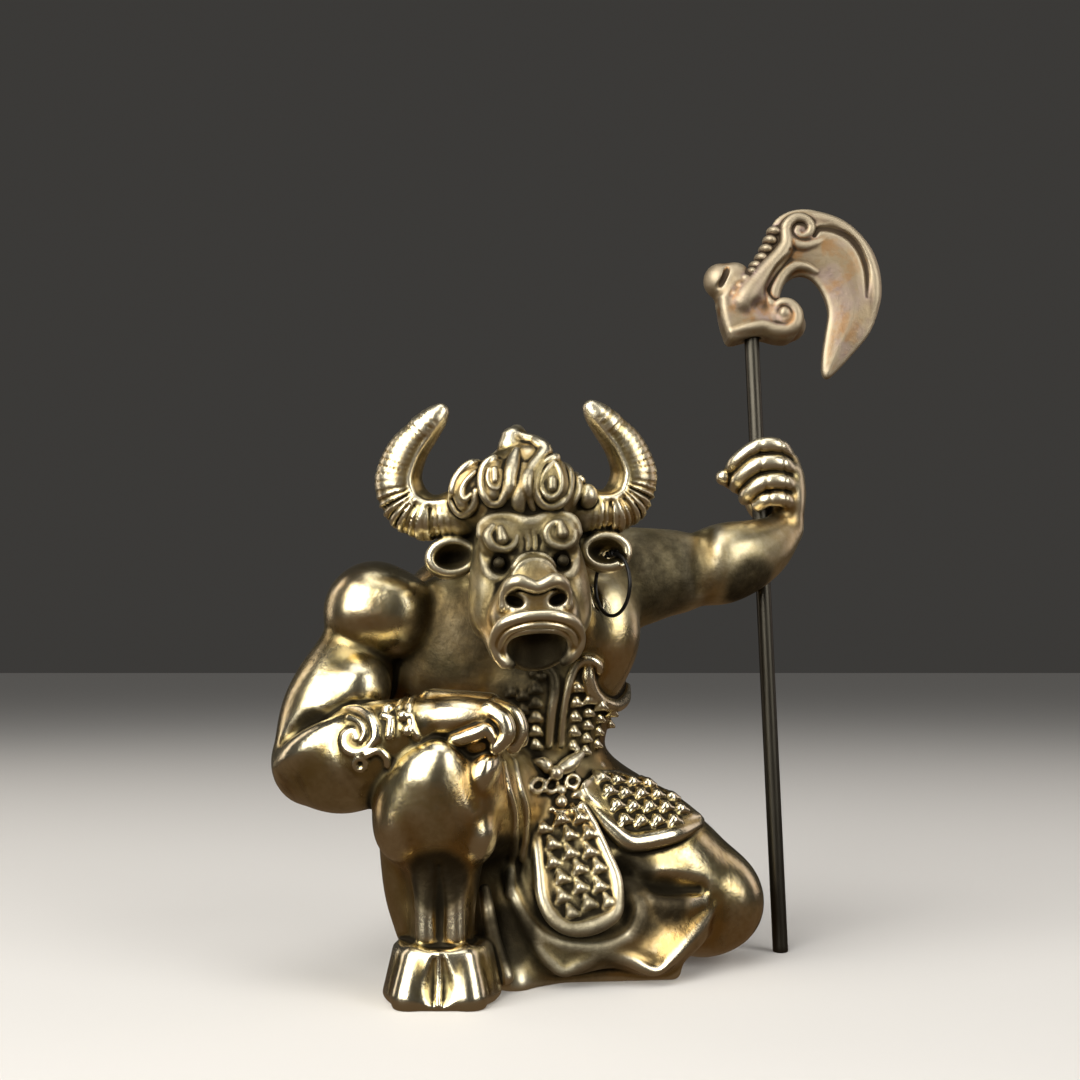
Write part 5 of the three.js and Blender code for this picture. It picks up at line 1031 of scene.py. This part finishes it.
def block_and_neck(c):
    """The block that the rod enters, and the banded neck from it to the crescent."""
    block = [(24.3, 87.2), (24.6, 84.6), (25.1, 82.7), (25.9, 81.1), (28.4, 81.6), (30.3, 81.8),
             (32.3, 81.3), (34.2, 81.4), (35.2, 83.2), (33.0, 86.2), (31.6, 87.0), (30.6, 88.4),
             (28.6, 90.0), (26.4, 90.0)]
    c.add(plate(closed_curve(block), BLADE_MIDDLE, 2.3, 0.9), 0.3)
    neck = [(27.7, 86.6), (28.3, 87.4), (29.6, 89.2), (31.2, 91.2), (32.7, 92.9), (33.7, 94.6),
            (33.7, 96.4)]
    both(c, neck, [1.8, 1.9, 1.6, 1.35, 1.2, 1.0, 0.7], 1.3, 0.5)
    seam = [(30.6, 85.9), (31.0, 88.2), (32.0, 90.5), (33.4, 92.1), (34.9, 92.9), (36.0, 92.7)]
    both(c, seam, [0.1, 0.3, 0.32, 0.32, 0.28, 0.1], 2.25, 0.6, True)
    collar = [(31.9, 86.9), (32.2, 88.6), (33.3, 90.6), (34.8, 91.7), (36.4, 91.7), (37.8, 91.0)]
    both(c, collar, [0.8, 0.9, 0.85, 0.75, 0.6, 0.3], 0.8, 0.3)


def scrolls(c):
    """The upper volute on the crescent and the lower scroll on the block."""
    upper = [(39.4, 95.9), (38.0, 95.0), (36.3, 94.5), (34.8, 94.9), (33.8, 96.0), (33.9, 97.4),
             (35.0, 98.4), (36.4, 98.3), (37.2, 97.3), (36.9, 96.3), (35.9, 95.9), (35.2, 96.5),
             (35.4, 97.1)]
    thick = [0.2, 0.55, 0.75, 0.8, 0.8, 0.8, 0.75, 0.7, 0.65, 0.6, 0.5, 0.45, 0.4]
    both(c, upper, thick, 1.05, 0.2, bend=6)
    under = [(34.2, 93.7), (34.9, 93.2), (35.9, 93.1)]
    both(c, under, [0.15, 0.3, 0.15], 2.1, 0.3, True)
    c.add(limb([(33.6, BLADE_MIDDLE - 0.5, 84.2), (34.4, BLADE_MIDDLE + 1.2, 84.0)], 2.25), 0.3)
    lower = [(26.0, 82.3), (28.4, 82.9), (30.4, 83.1), (32.0, 82.6), (33.5, 82.6), (34.6, 83.4),
             (34.8, 84.8), (34.0, 86.0), (32.8, 86.3), (31.9, 85.6)]
    both(c, lower, [0.5, 0.8, 0.85, 0.9, 0.95, 1.0, 0.95, 0.85, 0.7, 0.4], 1.9, 0.25, bend=6)
    for s in (-1, 1):
        c.add(ball((33.1, BLADE_MIDDLE + s * 2.3, 84.9), (0.75, 0.6, 0.75)), 0.3)
        c.carve(ball((30.5, BLADE_MIDDLE + s * 3.3, 85.5), (1.6, 1.3, 1.0), (0, 8, 0)), 1.0)


def leaf_and_cord(c):
    """The curled leaf with its slit, and the cord of twisted beads along the back edge."""
    y = BLADE_MIDDLE
    c.add(limb([(25.6, y, 86.4), (26.3, y, 88.6), (26.9, y, 90.4)], [1.5, 1.9, 1.5], 5), 0.5)
    c.add(ball((24.7, y, 89.9), (2.2, 2.2, 2.4)), 1.0)
    c.add(ball((26.9, y, 90.6), (1.7, 1.9, 1.7)), 1.2)
    slit = [(25.5, 92.3), (25.5, 91.2), (25.1, 89.9), (24.4, 88.7), (23.6, 88.1)]
    both(c, slit, [0.35, 0.42, 0.42, 0.4, 0.3], 2.0, 0.15, True)
    path = [(26.4, 87.5), (27.6, 89.3), (29.2, 91.1), (30.6, 93.0), (31.6, 95.1), (32.3, 96.7)]
    line = curve(path, 24)
    run = run_along(line)
    for n, at in enumerate(np.linspace(0, run[-1], 9)):
        a, b = (np.interp(at, run, line[:, i]) for i in (0, 1))
        wide, thick = (0.85, 2.5) if n < 4 else (1.1, 1.6)
        c.add(ball((a, y, b), (wide, thick, 0.8), (0, 20, 0)), 0.2)


def blade_clay():
    c = Clay(*BLADE_BOX, BLADE_STEP)
    for work in (crescent, block_and_neck, scrolls, leaf_and_cord, clear_pole):
        work(c)
    return c


# From clay to mesh


def new_object(name, data):
    """An object in the scene."""
    made = bpy.data.objects.new(name, data)
    bpy.context.scene.collection.objects.link(made)
    return made


def corner_views(grid):
    """A grid's values at the eight corners of each cell."""
    nx, ny, nz = np.array(grid.shape) - 1
    return [grid[i:nx + i, j:ny + j, k:nz + k] for i, j, k in CORNERS]


def corner_masks(grid):
    """For each cell, one bit for each corner that is inside."""
    mask = np.zeros(np.array(grid.shape) - 1, np.uint8)
    for n, corner in enumerate(corner_views(grid < 0)):
        mask |= corner.astype(np.uint8) << n
    return mask


def whole(mask, wanted):
    """True if a cell's corners with the wanted bit are joined by edges into one group."""
    members = [n for n in range(8) if (mask >> n & 1) == wanted]
    seen = set(members[:1])
    for _ in members:
        seen |= {n ^ bit for n in seen for bit in (1, 2, 4) if n ^ bit in members}
    return len(seen) == len(members)


def checkered(mask):
    """True if one of a cell's faces is inside at two opposite corners only."""
    faces = ((0, 1, 3, 2), (4, 5, 7, 6), (0, 1, 5, 4), (2, 3, 7, 6), (0, 2, 6, 4), (1, 3, 7, 5))
    for face in faces:
        a, b, c, d = (mask >> n & 1 for n in face)
        if a == c and b == d and a != b:
            return True
    return False


def settle(clay):
    """Fills the nearest outside corner of each cell whose inside or outside isn't one group, or that has a
    checkered face, until no such cell is left."""
    simple = np.array([whole(m, 1) and whole(m, 0) and not checkered(m) for m in range(256)])
    while True:
        cells = np.argwhere(~simple[corner_masks(clay.field)])
        if len(cells) == 0:
            return
        spots = cells[:, None, :] + CORNERS[None]
        values = clay.field[tuple(np.moveaxis(spots, 2, 0))]
        pick = np.argmin(np.where(values < 0, np.inf, values), axis=1)
        chosen = spots[np.arange(len(cells)), pick]
        clay.field[tuple(chosen.T)] = -JUST_INSIDE * clay.step


def surface_net(clay):
    """Surface net: a vertex in each mixed cell, at the mean of its edge crossings, and a face across each
    crossed grid edge."""
    solid = clay.field < 0
    mask = corner_masks(clay.field)
    mixed = (mask > 0) & (mask < 255)
    cells = np.argwhere(mixed)
    number = np.full(mask.shape, -1, np.int32)
    number[mixed] = np.arange(len(cells))
    value = [corner[mixed] for corner in corner_views(clay.field)]
    total = np.zeros((len(cells), 3))
    count = np.zeros((len(cells), 1))
    for a, b in CELL_EDGES:
        crossed = (value[a] < 0) != (value[b] < 0)
        share = np.where(crossed, value[a] / np.where(crossed, value[a] - value[b], 1), 0)[:, None]
        total += crossed[:, None] * (CORNERS[a] + share * (CORNERS[b] - CORNERS[a]))
        count += crossed[:, None]
    points = clay.low + clay.step * (cells + total / count)
    quads = []
    for axis in range(3):
        across, up = np.eye(3, dtype=int)[[(axis + 1) % 3, (axis + 2) % 3]]
        here, ahead = [slice(1, -1)] * 3, [slice(1, -1)] * 3
        ahead[axis] = slice(2, None)
        inside = solid[tuple(here)]
        crossed = inside != solid[tuple(ahead)]
        at = np.argwhere(crossed) + 1
        around = [number[tuple(cell.T)] for cell in (at, at - across, at - across - up, at - up)]
        quad = np.stack(around, 1)
        quads.append(np.where(inside[crossed][:, None], quad, quad[:, ::-1]))
    return points, np.vstack(quads)


def largest_part(points, faces):
    """Keeps the one connected surface that has the most points: labels spread along edges to the least."""
    label = np.arange(len(points))
    ends = np.vstack([faces[:, [i, (i + 1) % faces.shape[1]]] for i in range(faces.shape[1])])
    while True:
        least = np.minimum(label[ends[:, 0]], label[ends[:, 1]])
        fresh = label.copy()
        np.minimum.at(fresh, ends[:, 0], least)
        np.minimum.at(fresh, ends[:, 1], least)
        fresh = fresh[fresh]
        if np.array_equal(fresh, label):
            break
        label = fresh
    keep = label == np.bincount(label).argmax()
    number = np.cumsum(keep) - 1
    return points[keep], number[faces[keep[faces[:, 0]]]]


def thinned(points, faces, most):
    """The same surface with fewer faces: flat stretches are merged first."""
    mesh = bpy.data.meshes.new("rough")
    mesh.from_pydata(points, [], faces)
    rough = new_object("rough", mesh)
    thin = rough.modifiers.new("thin", "DECIMATE")
    thin.ratio = min(1.0, most / (2 * len(faces)))
    thin.use_collapse_triangulate = True
    result = rough.evaluated_get(bpy.context.evaluated_depsgraph_get()).to_mesh()
    spots = np.zeros(len(result.vertices) * 3, np.float32)
    result.vertices.foreach_get("co", spots)
    result.calc_loop_triangles()
    corners = np.zeros(len(result.loop_triangles) * 3, np.int32)
    result.loop_triangles.foreach_get("vertices", corners)
    bpy.data.objects.remove(rough)
    bpy.data.meshes.remove(mesh)
    return spots.reshape(-1, 3).astype(float), corners.reshape(-1, 3)


def slope(clay, points):
    """The field's gradient, from the difference over one grid step each way."""
    axes = np.eye(3) * clay.step
    ways = [clay.value(points + a) - clay.value(points - a) for a in axes]
    return np.column_stack(ways) / (2 * clay.step)


def onto_surface(clay, points):
    """Moves points down the field's slope to its zero, twice, by at most half a grid step each time."""
    for _ in range(2):
        way = slope(clay, points)
        steep = (way**2).sum(1, keepdims=True)
        move = -way * clay.value(points)[:, None] / np.maximum(steep, LEAST_STEEP)
        size = np.linalg.norm(move, axis=1, keepdims=True)
        points = points + move * np.minimum(1, 0.5 * clay.step / np.maximum(size, 1e-9))
    return points


def box_mean(grid, reach):
    """Mean over a cube of 2 reach + 1 cells, one axis at a time, as differences of a running sum."""
    wide = 2 * reach + 1
    for axis in range(3):
        pad = [(0, 0)] * 3
        pad[axis] = (reach + 1, reach)
        run = np.cumsum(np.pad(grid, pad, mode="edge"), axis=axis, dtype=np.float32)
        run = np.moveaxis(run, axis, 0)
        grid = np.moveaxis((run[wide:] - run[:-wide]) / wide, 0, axis)
    return grid


def share_of_metal(clay, points, reach):
    """How much of the space around each point is metal: half on a flat face, more in a hollow."""
    every = max(1, round(reach / (3 * clay.step)))
    step = clay.step * every
    metal = np.clip(0.5 - clay.field[::every, ::every, ::every] / step, 0, 1)
    cells = max(1, round(reach / step / 2))
    return sample(box_mean(box_mean(metal, cells), cells), clay.low, step, points)


def shade_and_soot_spots():
    """Where painted shade lies darkest, mixed with real grime and lacquer: in creases, under the chin, knee
    and tassets, between the arms and the body, over the face and in its eyes, nostrils, mouth and ears.
    Rows are [middle, reach, strength] in the sculpting frame.
    """
    spots = [((-10.5, -2, 41.5), 9.0, 0.7), ((-1, -5, 37.5), 8.0, 0.9), ((-3.5, -4, 33), 6.5, 0.85),
             ((-2, 0, 24), 4.5, 0.6), ((-16.5, -9, 23.5), 5.0, 0.6), ((-11.5, -13.5, 13.6), 5.2, 0.95),
             ((-5, -8, 14), 6.0, 0.9), ((-4, -6, 6), 5.5, 0.9), ((10.3, -1, 12.4), 5.0, 0.95),
             ((14.6, -1, 8.8), 4.5, 0.9), ((-26.5, -7, 30.4), 3.0, 0.9), ((-15.2, 1, 42), 4.5, 0.95),
             ((-18, -4, 36), 4.0, 0.7), ((20.8, 6.5, 49.5), 4.5, 0.5), ((-14, -12, 20), 4.0, 0.3),
             ((15.0, 5.0, 49.0), 9.0, 0.75), ((12.5, -4.5, 9.5), 5.5, 0.75), ((4, -6, 5), 9.0, 0.55),
             ((27.0, 9.0, 48.3), 5.5, 0.8), (HEAD.put((0, -4, 0.5)), 14.0, 0.54)]
    for s in (-1, 1):
        spots += [(HEAD.put((s * 3.7, -7.4, -1.6)), 1.8, 1.0), (HEAD.put((s * 2.4, -11.6, -6.1)), 1.5, 1.0),
                  (HEAD.put((s * 9.3 + 0.5, 0.2, 0.6)), 2.6, 0.65)]
    return spots + [(HEAD.put((0.2, -9.2, -12.3)), 4.8, 1.0)]


# Where the metal is matte: [middle, reach, strength] in the sculpting frame, and the least on the head.
MATTE_SPOTS = [((28, 12, 56), 26.0, 0.6), ((14, 6, 49), 12.0, 1.0), ((3, -5, 8), 14.0, 0.9),
               ((2, -3, 28), 10.0, 0.7), ((-9, 0, 38), 10.0, 0.9)]
HEAD_MATTE = 0.55


def spots_at(points, spots):
    """The strongest spot's share at each point: its strength, fading from half its reach to nothing at
    its reach."""
    most = np.zeros(len(points))
    for middle, reach, strength in spots:
        away = np.linalg.norm(points - np.array(middle), axis=1) / reach
        t = np.clip(2 - 2 * away, 0, 1)
        most = np.maximum(most, strength * t * t * (3 - 2 * t))
    return most


def write_attribute(piece, title, values):
    attribute = piece.data.attributes.new(title, "FLOAT", "POINT")
    attribute.data.foreach_set("value", values.astype(np.float32))


def new_piece(name, points, faces, material, node):
    """A mesh object in metres that rides on the body and stands for its CAD node."""
    mesh = bpy.data.meshes.new(name)
    mesh.from_pydata(to_metres(points), [], faces)
    mesh.polygons.foreach_set("use_smooth", np.ones(len(faces), bool))
    mesh.materials.append(material)
    piece = new_object(name, mesh)
    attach(piece, BODY)
    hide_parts(node)
    return piece


def cast(name, clay, material, node, matte=0.0):
    """Meshes clay as a piece, with its normals from the field, and its hollows, shelter, painted shade
    mixed with grime, and how matte it is, matte at the least, as attributes."""
    settle(clay)
    points, faces = thinned(*largest_part(*surface_net(clay)), MOST_FACES)
    points = onto_surface(clay, points)
    piece = new_piece(name, points, faces, material, node)
    normals = slope(clay, points)
    normals /= np.maximum(np.linalg.norm(normals, axis=1, keepdims=True), 1e-9)
    piece.data.normals_split_custom_set_from_vertices(normals)
    for title, reach in (("hollow", HOLLOW_REACH), ("shelter", SHELTER_REACH)):
        write_attribute(piece, title, share_of_metal(clay, points, reach))
    # Painted shade, mixed with real grime, from the listed spots.
    write_attribute(piece, "shade_and_soot", spots_at(points, shade_and_soot_spots()))
    write_attribute(piece, "matte", np.maximum(spots_at(points, MATTE_SPOTS), matte))
    return piece


def swept(line, radii, sides, closed):
    """A round section carried along a line: each ring stands square to the line on two axes that
    don't twist. An open tube is closed by a point at each end."""
    ahead, behind = np.roll(line, -1, 0), np.roll(line, 1, 0)
    if not closed:
        ahead[-1], behind[0] = line[-1], line[0]
    way = unit(ahead - behind)
    up = unit(np.cross(way, np.cross(np.array(ALMOST_FRONT), way)))
    side = np.cross(way, up)
    t = np.arange(sides) * 2 * np.pi / sides
    disc = up[:, None] * np.cos(t)[None, :, None] + side[:, None] * np.sin(t)[None, :, None]
    points = line[:, None] + disc * np.broadcast_to(radii, len(line))[:, None, None]
    rings = len(line)
    a = np.arange(rings if closed else rings - 1)[:, None] * sides
    b = (a + sides) % (rings * sides)
    here, beside = np.arange(sides), (np.arange(sides) + 1) % sides
    faces = np.stack([a + here, a + beside, b + beside, b + here], -1).reshape(-1, 4)
    points = points.reshape(-1, 3)
    if closed:
        return points, [tuple(face) for face in faces]
    first, last = len(points), len(points) + 1
    points = np.vstack([points, line[0], line[-1]])
    end = (rings - 1) * sides
    caps = [(beside[n], here[n], first) for n in range(sides)]
    caps += [(end + here[n], end + beside[n], last) for n in range(sides)]
    return points, [tuple(face) for face in faces] + caps


# Finishes


class Wire:
    """An output of a node. Arithmetic on wires and numbers adds Math nodes."""

    def __init__(self, nodes, socket):
        self.nodes = nodes
        self.socket = socket

    def math(self, operation, *values):
        return self.nodes.add("Math", {"operation": operation}, values)

    def __add__(self, other):
        return self.math("ADD", self, other)

    __radd__ = __add__

    def __mul__(self, other):
        return self.math("MULTIPLY", self, other)

    __rmul__ = __mul__

    def __sub__(self, other):
        return self.math("SUBTRACT", self, other)

    def __rsub__(self, other):
        return self.math("SUBTRACT", other, self)

    def smooth(self, low, high):
        """0 below low, 1 above high, and an S-curve between."""
        settings = {"interpolation_type": "SMOOTHSTEP"}
        return self.nodes.add("MapRange", settings, {"Value": self, "From Min": low, "From Max": high})

    def blend(self, first, second):
        """first where this is 0, second where it is 1."""
        settings = {"data_type": "RGBA"}
        return self.nodes.add("Mix", settings, {0: self, 6: first, 7: second}, 2)


class Nodes:
    """A node tree, whose nodes are added one call each."""

    def __init__(self, tree):
        self.tree = tree

    def feed(self, socket, value):
        if isinstance(value, Wire):
            self.tree.links.new(value.socket, socket)
        else:
            socket.default_value = value

    def add(self, kind, settings, inputs, output=0):
        node = self.tree.nodes.new("ShaderNode" + kind)
        for title, value in settings.items():
            setattr(node, title, value)
        rows = inputs.items() if isinstance(inputs, dict) else enumerate(inputs)
        for title, value in rows:
            self.feed(node.inputs[title], value)
        return Wire(self, node.outputs[output])


class Finish(Nodes):
    """A material and its shader."""

    def __init__(self, name, metallic=0.0):
        self.material = bpy.data.materials.new(name)
        self.material.use_nodes = True
        super().__init__(self.material.node_tree)
        self.shader = self.tree.nodes["Principled BSDF"]
        self.set("Metallic", metallic)

    def attribute(self, title):
        return self.add("Attribute", {"attribute_name": title}, {}, "Fac")

    def place(self):
        return self.add("TexCoord", {}, {}, "Object")

    def noise(self, size, detail=3.0, roughness=0.55, stretch=(1, 1, 1)):
        """Cloudy variation whose patches are about size millimetres."""
        spot = self.add("Mapping", {}, {"Vector": self.place(), "Scale": stretch})
        inputs = {"Vector": spot, "Scale": 1 / (size * MM), "Detail": detail, "Roughness": roughness}
        return self.add("TexNoise", {}, inputs)

    def set(self, title, value):
        self.feed(self.shader.inputs[title], value)

    def bump(self, height, depth):
        """Relief of a height from 0 to 1 that is depth millimetres deep."""
        inputs = {"Height": height, "Distance": depth * MM, "Strength": 1.0}
        self.set("Normal", self.add("Bump", {}, inputs))


def aged_brass():
    """Polished pale brass on what stands out, olive gold between, dark brown patina in narrow hollows,
    painted shade with some patina in broad sheltered places, and painted shade mixed with grime, near
    black, where the shade spots lie.
    """
    f = Finish("aged_brass", metallic=1.0)
    # The third attribute holds painted shade mixed with grime.
    hollow, shelter, shade_and_soot, matte = (f.attribute(title) for title in ("hollow", "shelter", "shade_and_soot", "matte"))
    cloud, speck = f.noise(6.0, 4.0), f.noise(0.8, 5.0, 0.65)
    mottle, drip = f.noise(2.2, 5.0, 0.7), f.noise(3.2, 4.0, 0.6, (1, 1, 0.4))
    # Painted shade from the spots, broken up by noise for real grime and mottling.
    dirt_and_shade = (shade_and_soot + (mottle - 0.5) * 0.5 + (cloud - 0.5) * 0.25).smooth(0.12, 0.95)
    worn = (hollow + (cloud - 0.5) * 0.06 + (speck - 0.5) * 0.05).smooth(0.51, 0.43) * (1 - dirt_and_shade * 0.7)
    deep = (hollow + (speck - 0.5) * 0.04).smooth(0.525, 0.61)
    # Painted shade, with some patina, in broad sheltered places such as under the chin and between the arms
    # and the body.
    shade_and_patina = (shelter + (cloud - 0.5) * 0.10).smooth(0.52, 0.68)
    amber = f.noise(11.0, 2.0).smooth(0.42, 0.62)
    skin = amber.blend((0.41, 0.325, 0.145, 1), (0.45, 0.295, 0.105, 1))
    stain = drip.smooth(0.50, 0.66) * (1 - worn) * 0.6
    tanned = stain.blend(skin, (0.19, 0.125, 0.052, 1))
    dusty = (matte * 0.5).blend(tanned, (0.34, 0.285, 0.165, 1))
    bright = (worn * 0.8).blend(dusty, (0.80, 0.73, 0.54, 1))
    # The colour darkened by that painted shade and patina.
    dull = (shade_and_patina * 0.75).blend(bright, (0.11, 0.088, 0.048, 1))
    # Painted shade mixed with grime takes the colour towards near black.
    shaded_and_sooty = (dirt_and_shade * 0.95).blend(dull, (0.026, 0.021, 0.013, 1))
    f.set("Base Color", deep.blend(shaded_and_sooty, (0.024, 0.019, 0.011, 1)))
    tarnish = deep * 0.3 + shade_and_patina * 0.14 + dirt_and_shade * 0.28 + stain * 0.12 + matte * 0.17
    f.set("Roughness", 0.22 + (cloud - 0.5) * 0.14 + tarnish)
    f.bump(speck * 0.5 + mottle * (0.4 + dirt_and_shade * 1.8 + stain * 0.8), 0.06)
    return f.material


def pale_brass():
    """The blade: dull sandy brass with orange and rosy tarnish, darker in its grooves."""
    f = Finish("pale_brass", metallic=1.0)
    hollow = f.attribute("hollow")
    cloud, rust = f.noise(5.0, 4.0), f.noise(4.0, 4.0, 0.6)
    speck = f.noise(0.8, 5.0, 0.65)
    worn = (hollow + (speck - 0.5) * 0.05).smooth(0.53, 0.42)
    deep = (hollow + (cloud - 0.5) * 0.05).smooth(0.52, 0.60)
    rosy = cloud.smooth(0.42, 0.62)
    face = rosy.blend((0.28, 0.215, 0.13, 1), (0.265, 0.195, 0.165, 1))
    warm = (rust.smooth(0.48, 0.62) * 0.8).blend(face, (0.29, 0.155, 0.06, 1))
    bright = worn.blend(warm, (0.39, 0.325, 0.225, 1))
    f.set("Base Color", deep.blend(bright, (0.07, 0.05, 0.032, 1)))
    f.set("Roughness", 0.54 + (cloud - 0.5) * 0.16 + deep * 0.2)
    f.bump(speck * 0.8 + f.noise(2.2, 3.0), 0.06)
    return f.material


def dark_rod():
    """Drawn metal rod, brownish grey, with long fine draw marks and a few dull patches."""
    f = Finish("dark_rod", metallic=1.0)
    marks = f.noise(0.35, 3.0, 0.6, (1, 1, 0.02))
    cloud = f.noise(6.0, 3.0)
    f.set("Base Color", marks.blend((0.032, 0.029, 0.023, 1), (0.085, 0.077, 0.06, 1)))
    f.set("Roughness", 0.4 + (cloud - 0.5) * 0.25)
    f.bump(marks, 0.012)
    return f.material


def black_wire():
    """Blackened wire with a satin gloss and scuffs."""
    f = Finish("black_wire", metallic=0.6)
    scuff = f.noise(0.8, 3.0).smooth(0.55, 0.75)
    f.set("Base Color", scuff.blend((0.012, 0.011, 0.01, 1), (0.07, 0.06, 0.05, 1)))
    f.set("Roughness", 0.36 + scuff * 0.2)
    return f.material


# The pieces

BRASS = aged_brass()
cast("cast_body", body_clay(), BRASS, "ox_figure")
cast("cast_head", head_clay(), BRASS, "ox_figure", HEAD_MATTE)
cast("crescent_blade", blade_clay(), pale_brass(), "staff_blade")


def pole():
    """A round rod whose ends are eased: the radius falls away over the last fifth of a millimetre."""
    share = np.array([0, 0.0008, 0.0024, 0.01, 0.25, 0.5, 0.75, 0.99, 0.9976, 0.9992, 1])
    eased = np.array([0.82, 0.94, 1, 1, 1, 1, 1, 1, 1, 0.94, 0.82]) * ROD_RADIUS
    foot, top = np.array(ROD_FOOT), np.array(ROD_TOP)
    line = foot + share[:, None] * (top - foot)
    points, faces = swept(line, eased, ROD_SIDES, False)
    points[:, 2] = np.clip(points[:, 2], foot[2], top[2])
    return new_piece("round_pole", points, faces, dark_rod(), "staff_rod")


def ear_wire():
    """A ring of wire whose end is wound round it: a helix about the ring's top."""
    points, faces = swept(ear_ring_line(RING_STEPS), EAR_WIRE_RADIUS, WIRE_SIDES, True)
    t = np.linspace(0, 1, KNOT_STEPS)
    turn, around = np.radians(EAR_RING_TURN), t * 2 * np.pi * KNOT_TURNS
    out = EAR_RING_RADIUS + KNOT_RADIUS * np.cos(around)
    flat = round_ear_ring(np.pi / 2 + (t - 0.5) * KNOT_SPAN)
    side = np.array([-np.sin(turn), np.cos(turn), 0]) * (KNOT_RADIUS * np.sin(around))[:, None]
    line = np.array(EAR_RING_MIDDLE) + flat * out[:, None] + side
    coil, coil_faces = swept(line, KNOT_WIRE, KNOT_SIDES, False)
    moved = [tuple(n + len(points) for n in face) for face in coil_faces]
    return new_piece("ear_wire", np.vstack([points, coil]), list(faces) + moved, black_wire(), "ear_ring")


pole()
ear_wire()


# Floor, light and camera: the floor's half width, and the height that the lights face, in metres.
FLOOR_HALF = 12.0
FLOOR_COLOUR = (0.62, 0.6, 0.57, 1)
LIT_HEIGHT = 0.04

# Soft lights: name, azimuth and elevation in degrees, distance, width and height in metres, radiance and
# colour. Azimuth 0 is the camera's side, and it grows toward the camera's right.
SOFT_BOXES = [("left_box", -40, 28, 0.5, 0.46, 0.5, 6.6, (1, 0.985, 0.95)),
              ("right_box", 50, 24, 0.5, 0.26, 0.42, 4.4, (1, 0.985, 0.96)),
              ("top_box", 5, 76, 0.5, 0.34, 0.3, 2.4, (1, 1, 1)),
              ("left_strip", -112, 18, 0.5, 0.12, 0.4, 2.0, (1, 0.88, 0.78)),
              ("right_strip", 108, 20, 0.5, 0.2, 0.4, 1.0, (1, 0.86, 0.82))]


def floor():
    """A pale table top with a little light of its own, which the polished metal doesn't mirror."""
    corners = [(a * FLOOR_HALF, b * FLOOR_HALF, 0) for a, b in ((-1, -1), (1, -1), (1, 1), (-1, 1))]
    mesh = bpy.data.meshes.new("floor")
    mesh.from_pydata(corners, [], [(0, 1, 2, 3)])
    f = Finish("pale_floor")
    f.set("Roughness", 0.7)
    f.set("Base Color", FLOOR_COLOUR)
    f.set("Emission Color", FLOOR_COLOUR)
    f.set("Emission Strength", 0.1)
    mesh.materials.append(f.material)
    ground = new_object("floor", mesh)
    ground.visible_glossy = False
    ground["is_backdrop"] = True


def soft_box(name, azimuth, elevation, away, wide, tall, radiance, colour):
    """A rectangular light that faces the figure. Its power is its radiance times its area times pi."""
    a, e = np.radians([azimuth, elevation])
    back = Vector((np.sin(a) * np.cos(e), -np.cos(a) * np.cos(e), np.sin(e)))
    data = bpy.data.lights.new(name, "AREA")
    data.shape = "RECTANGLE"
    data.size, data.size_y = wide, tall
    data.energy = radiance * wide * tall * np.pi
    data.color = colour
    lamp = new_object(name, data)
    lamp.location = Vector((0, 0, LIT_HEIGHT)) + back * away
    lamp.rotation_euler = (-back).to_track_quat("-Z", "Y").to_euler()


def lights():
    """A dim room, brownish below the table's edge, and five soft lights round the figure."""
    world = bpy.data.worlds.new("studio")
    world.use_nodes = True
    w = Nodes(world.node_tree)
    up = w.add("SeparateXYZ", {}, {0: w.add("TexCoord", {}, {}, "Generated")}, "Z")
    height = w.add("MapRange", {}, {"Value": up, "From Min": -0.25, "From Max": -0.03})
    glow = height.blend((0.125, 0.085, 0.052, 1), (0.044, 0.042, 0.039, 1))
    w.feed(w.tree.nodes["Background"].inputs["Color"], glow)
    bpy.context.scene.world = world
    for row in SOFT_BOXES:
        soft_box(*row)


def camera():
    data = bpy.data.cameras.new("eye")
    data.sensor_width = SENSOR_MM
    data.lens = FOCAL_PX / PHOTO_SIDE_PX * SENSOR_MM
    data.clip_start = 0.005
    eye = new_object("eye", data)
    eye.location = Vector(to_metres([EYE])[0])
    eye.rotation_euler = (np.radians(90 + EYE_PITCH), 0, 0)
    bpy.context.scene.camera = eye


floor()
lights()
camera()
bpy.context.scene.view_settings.view_transform = "Standard"

corners = [list(point) for point in (*CAD_BOX, *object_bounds())]
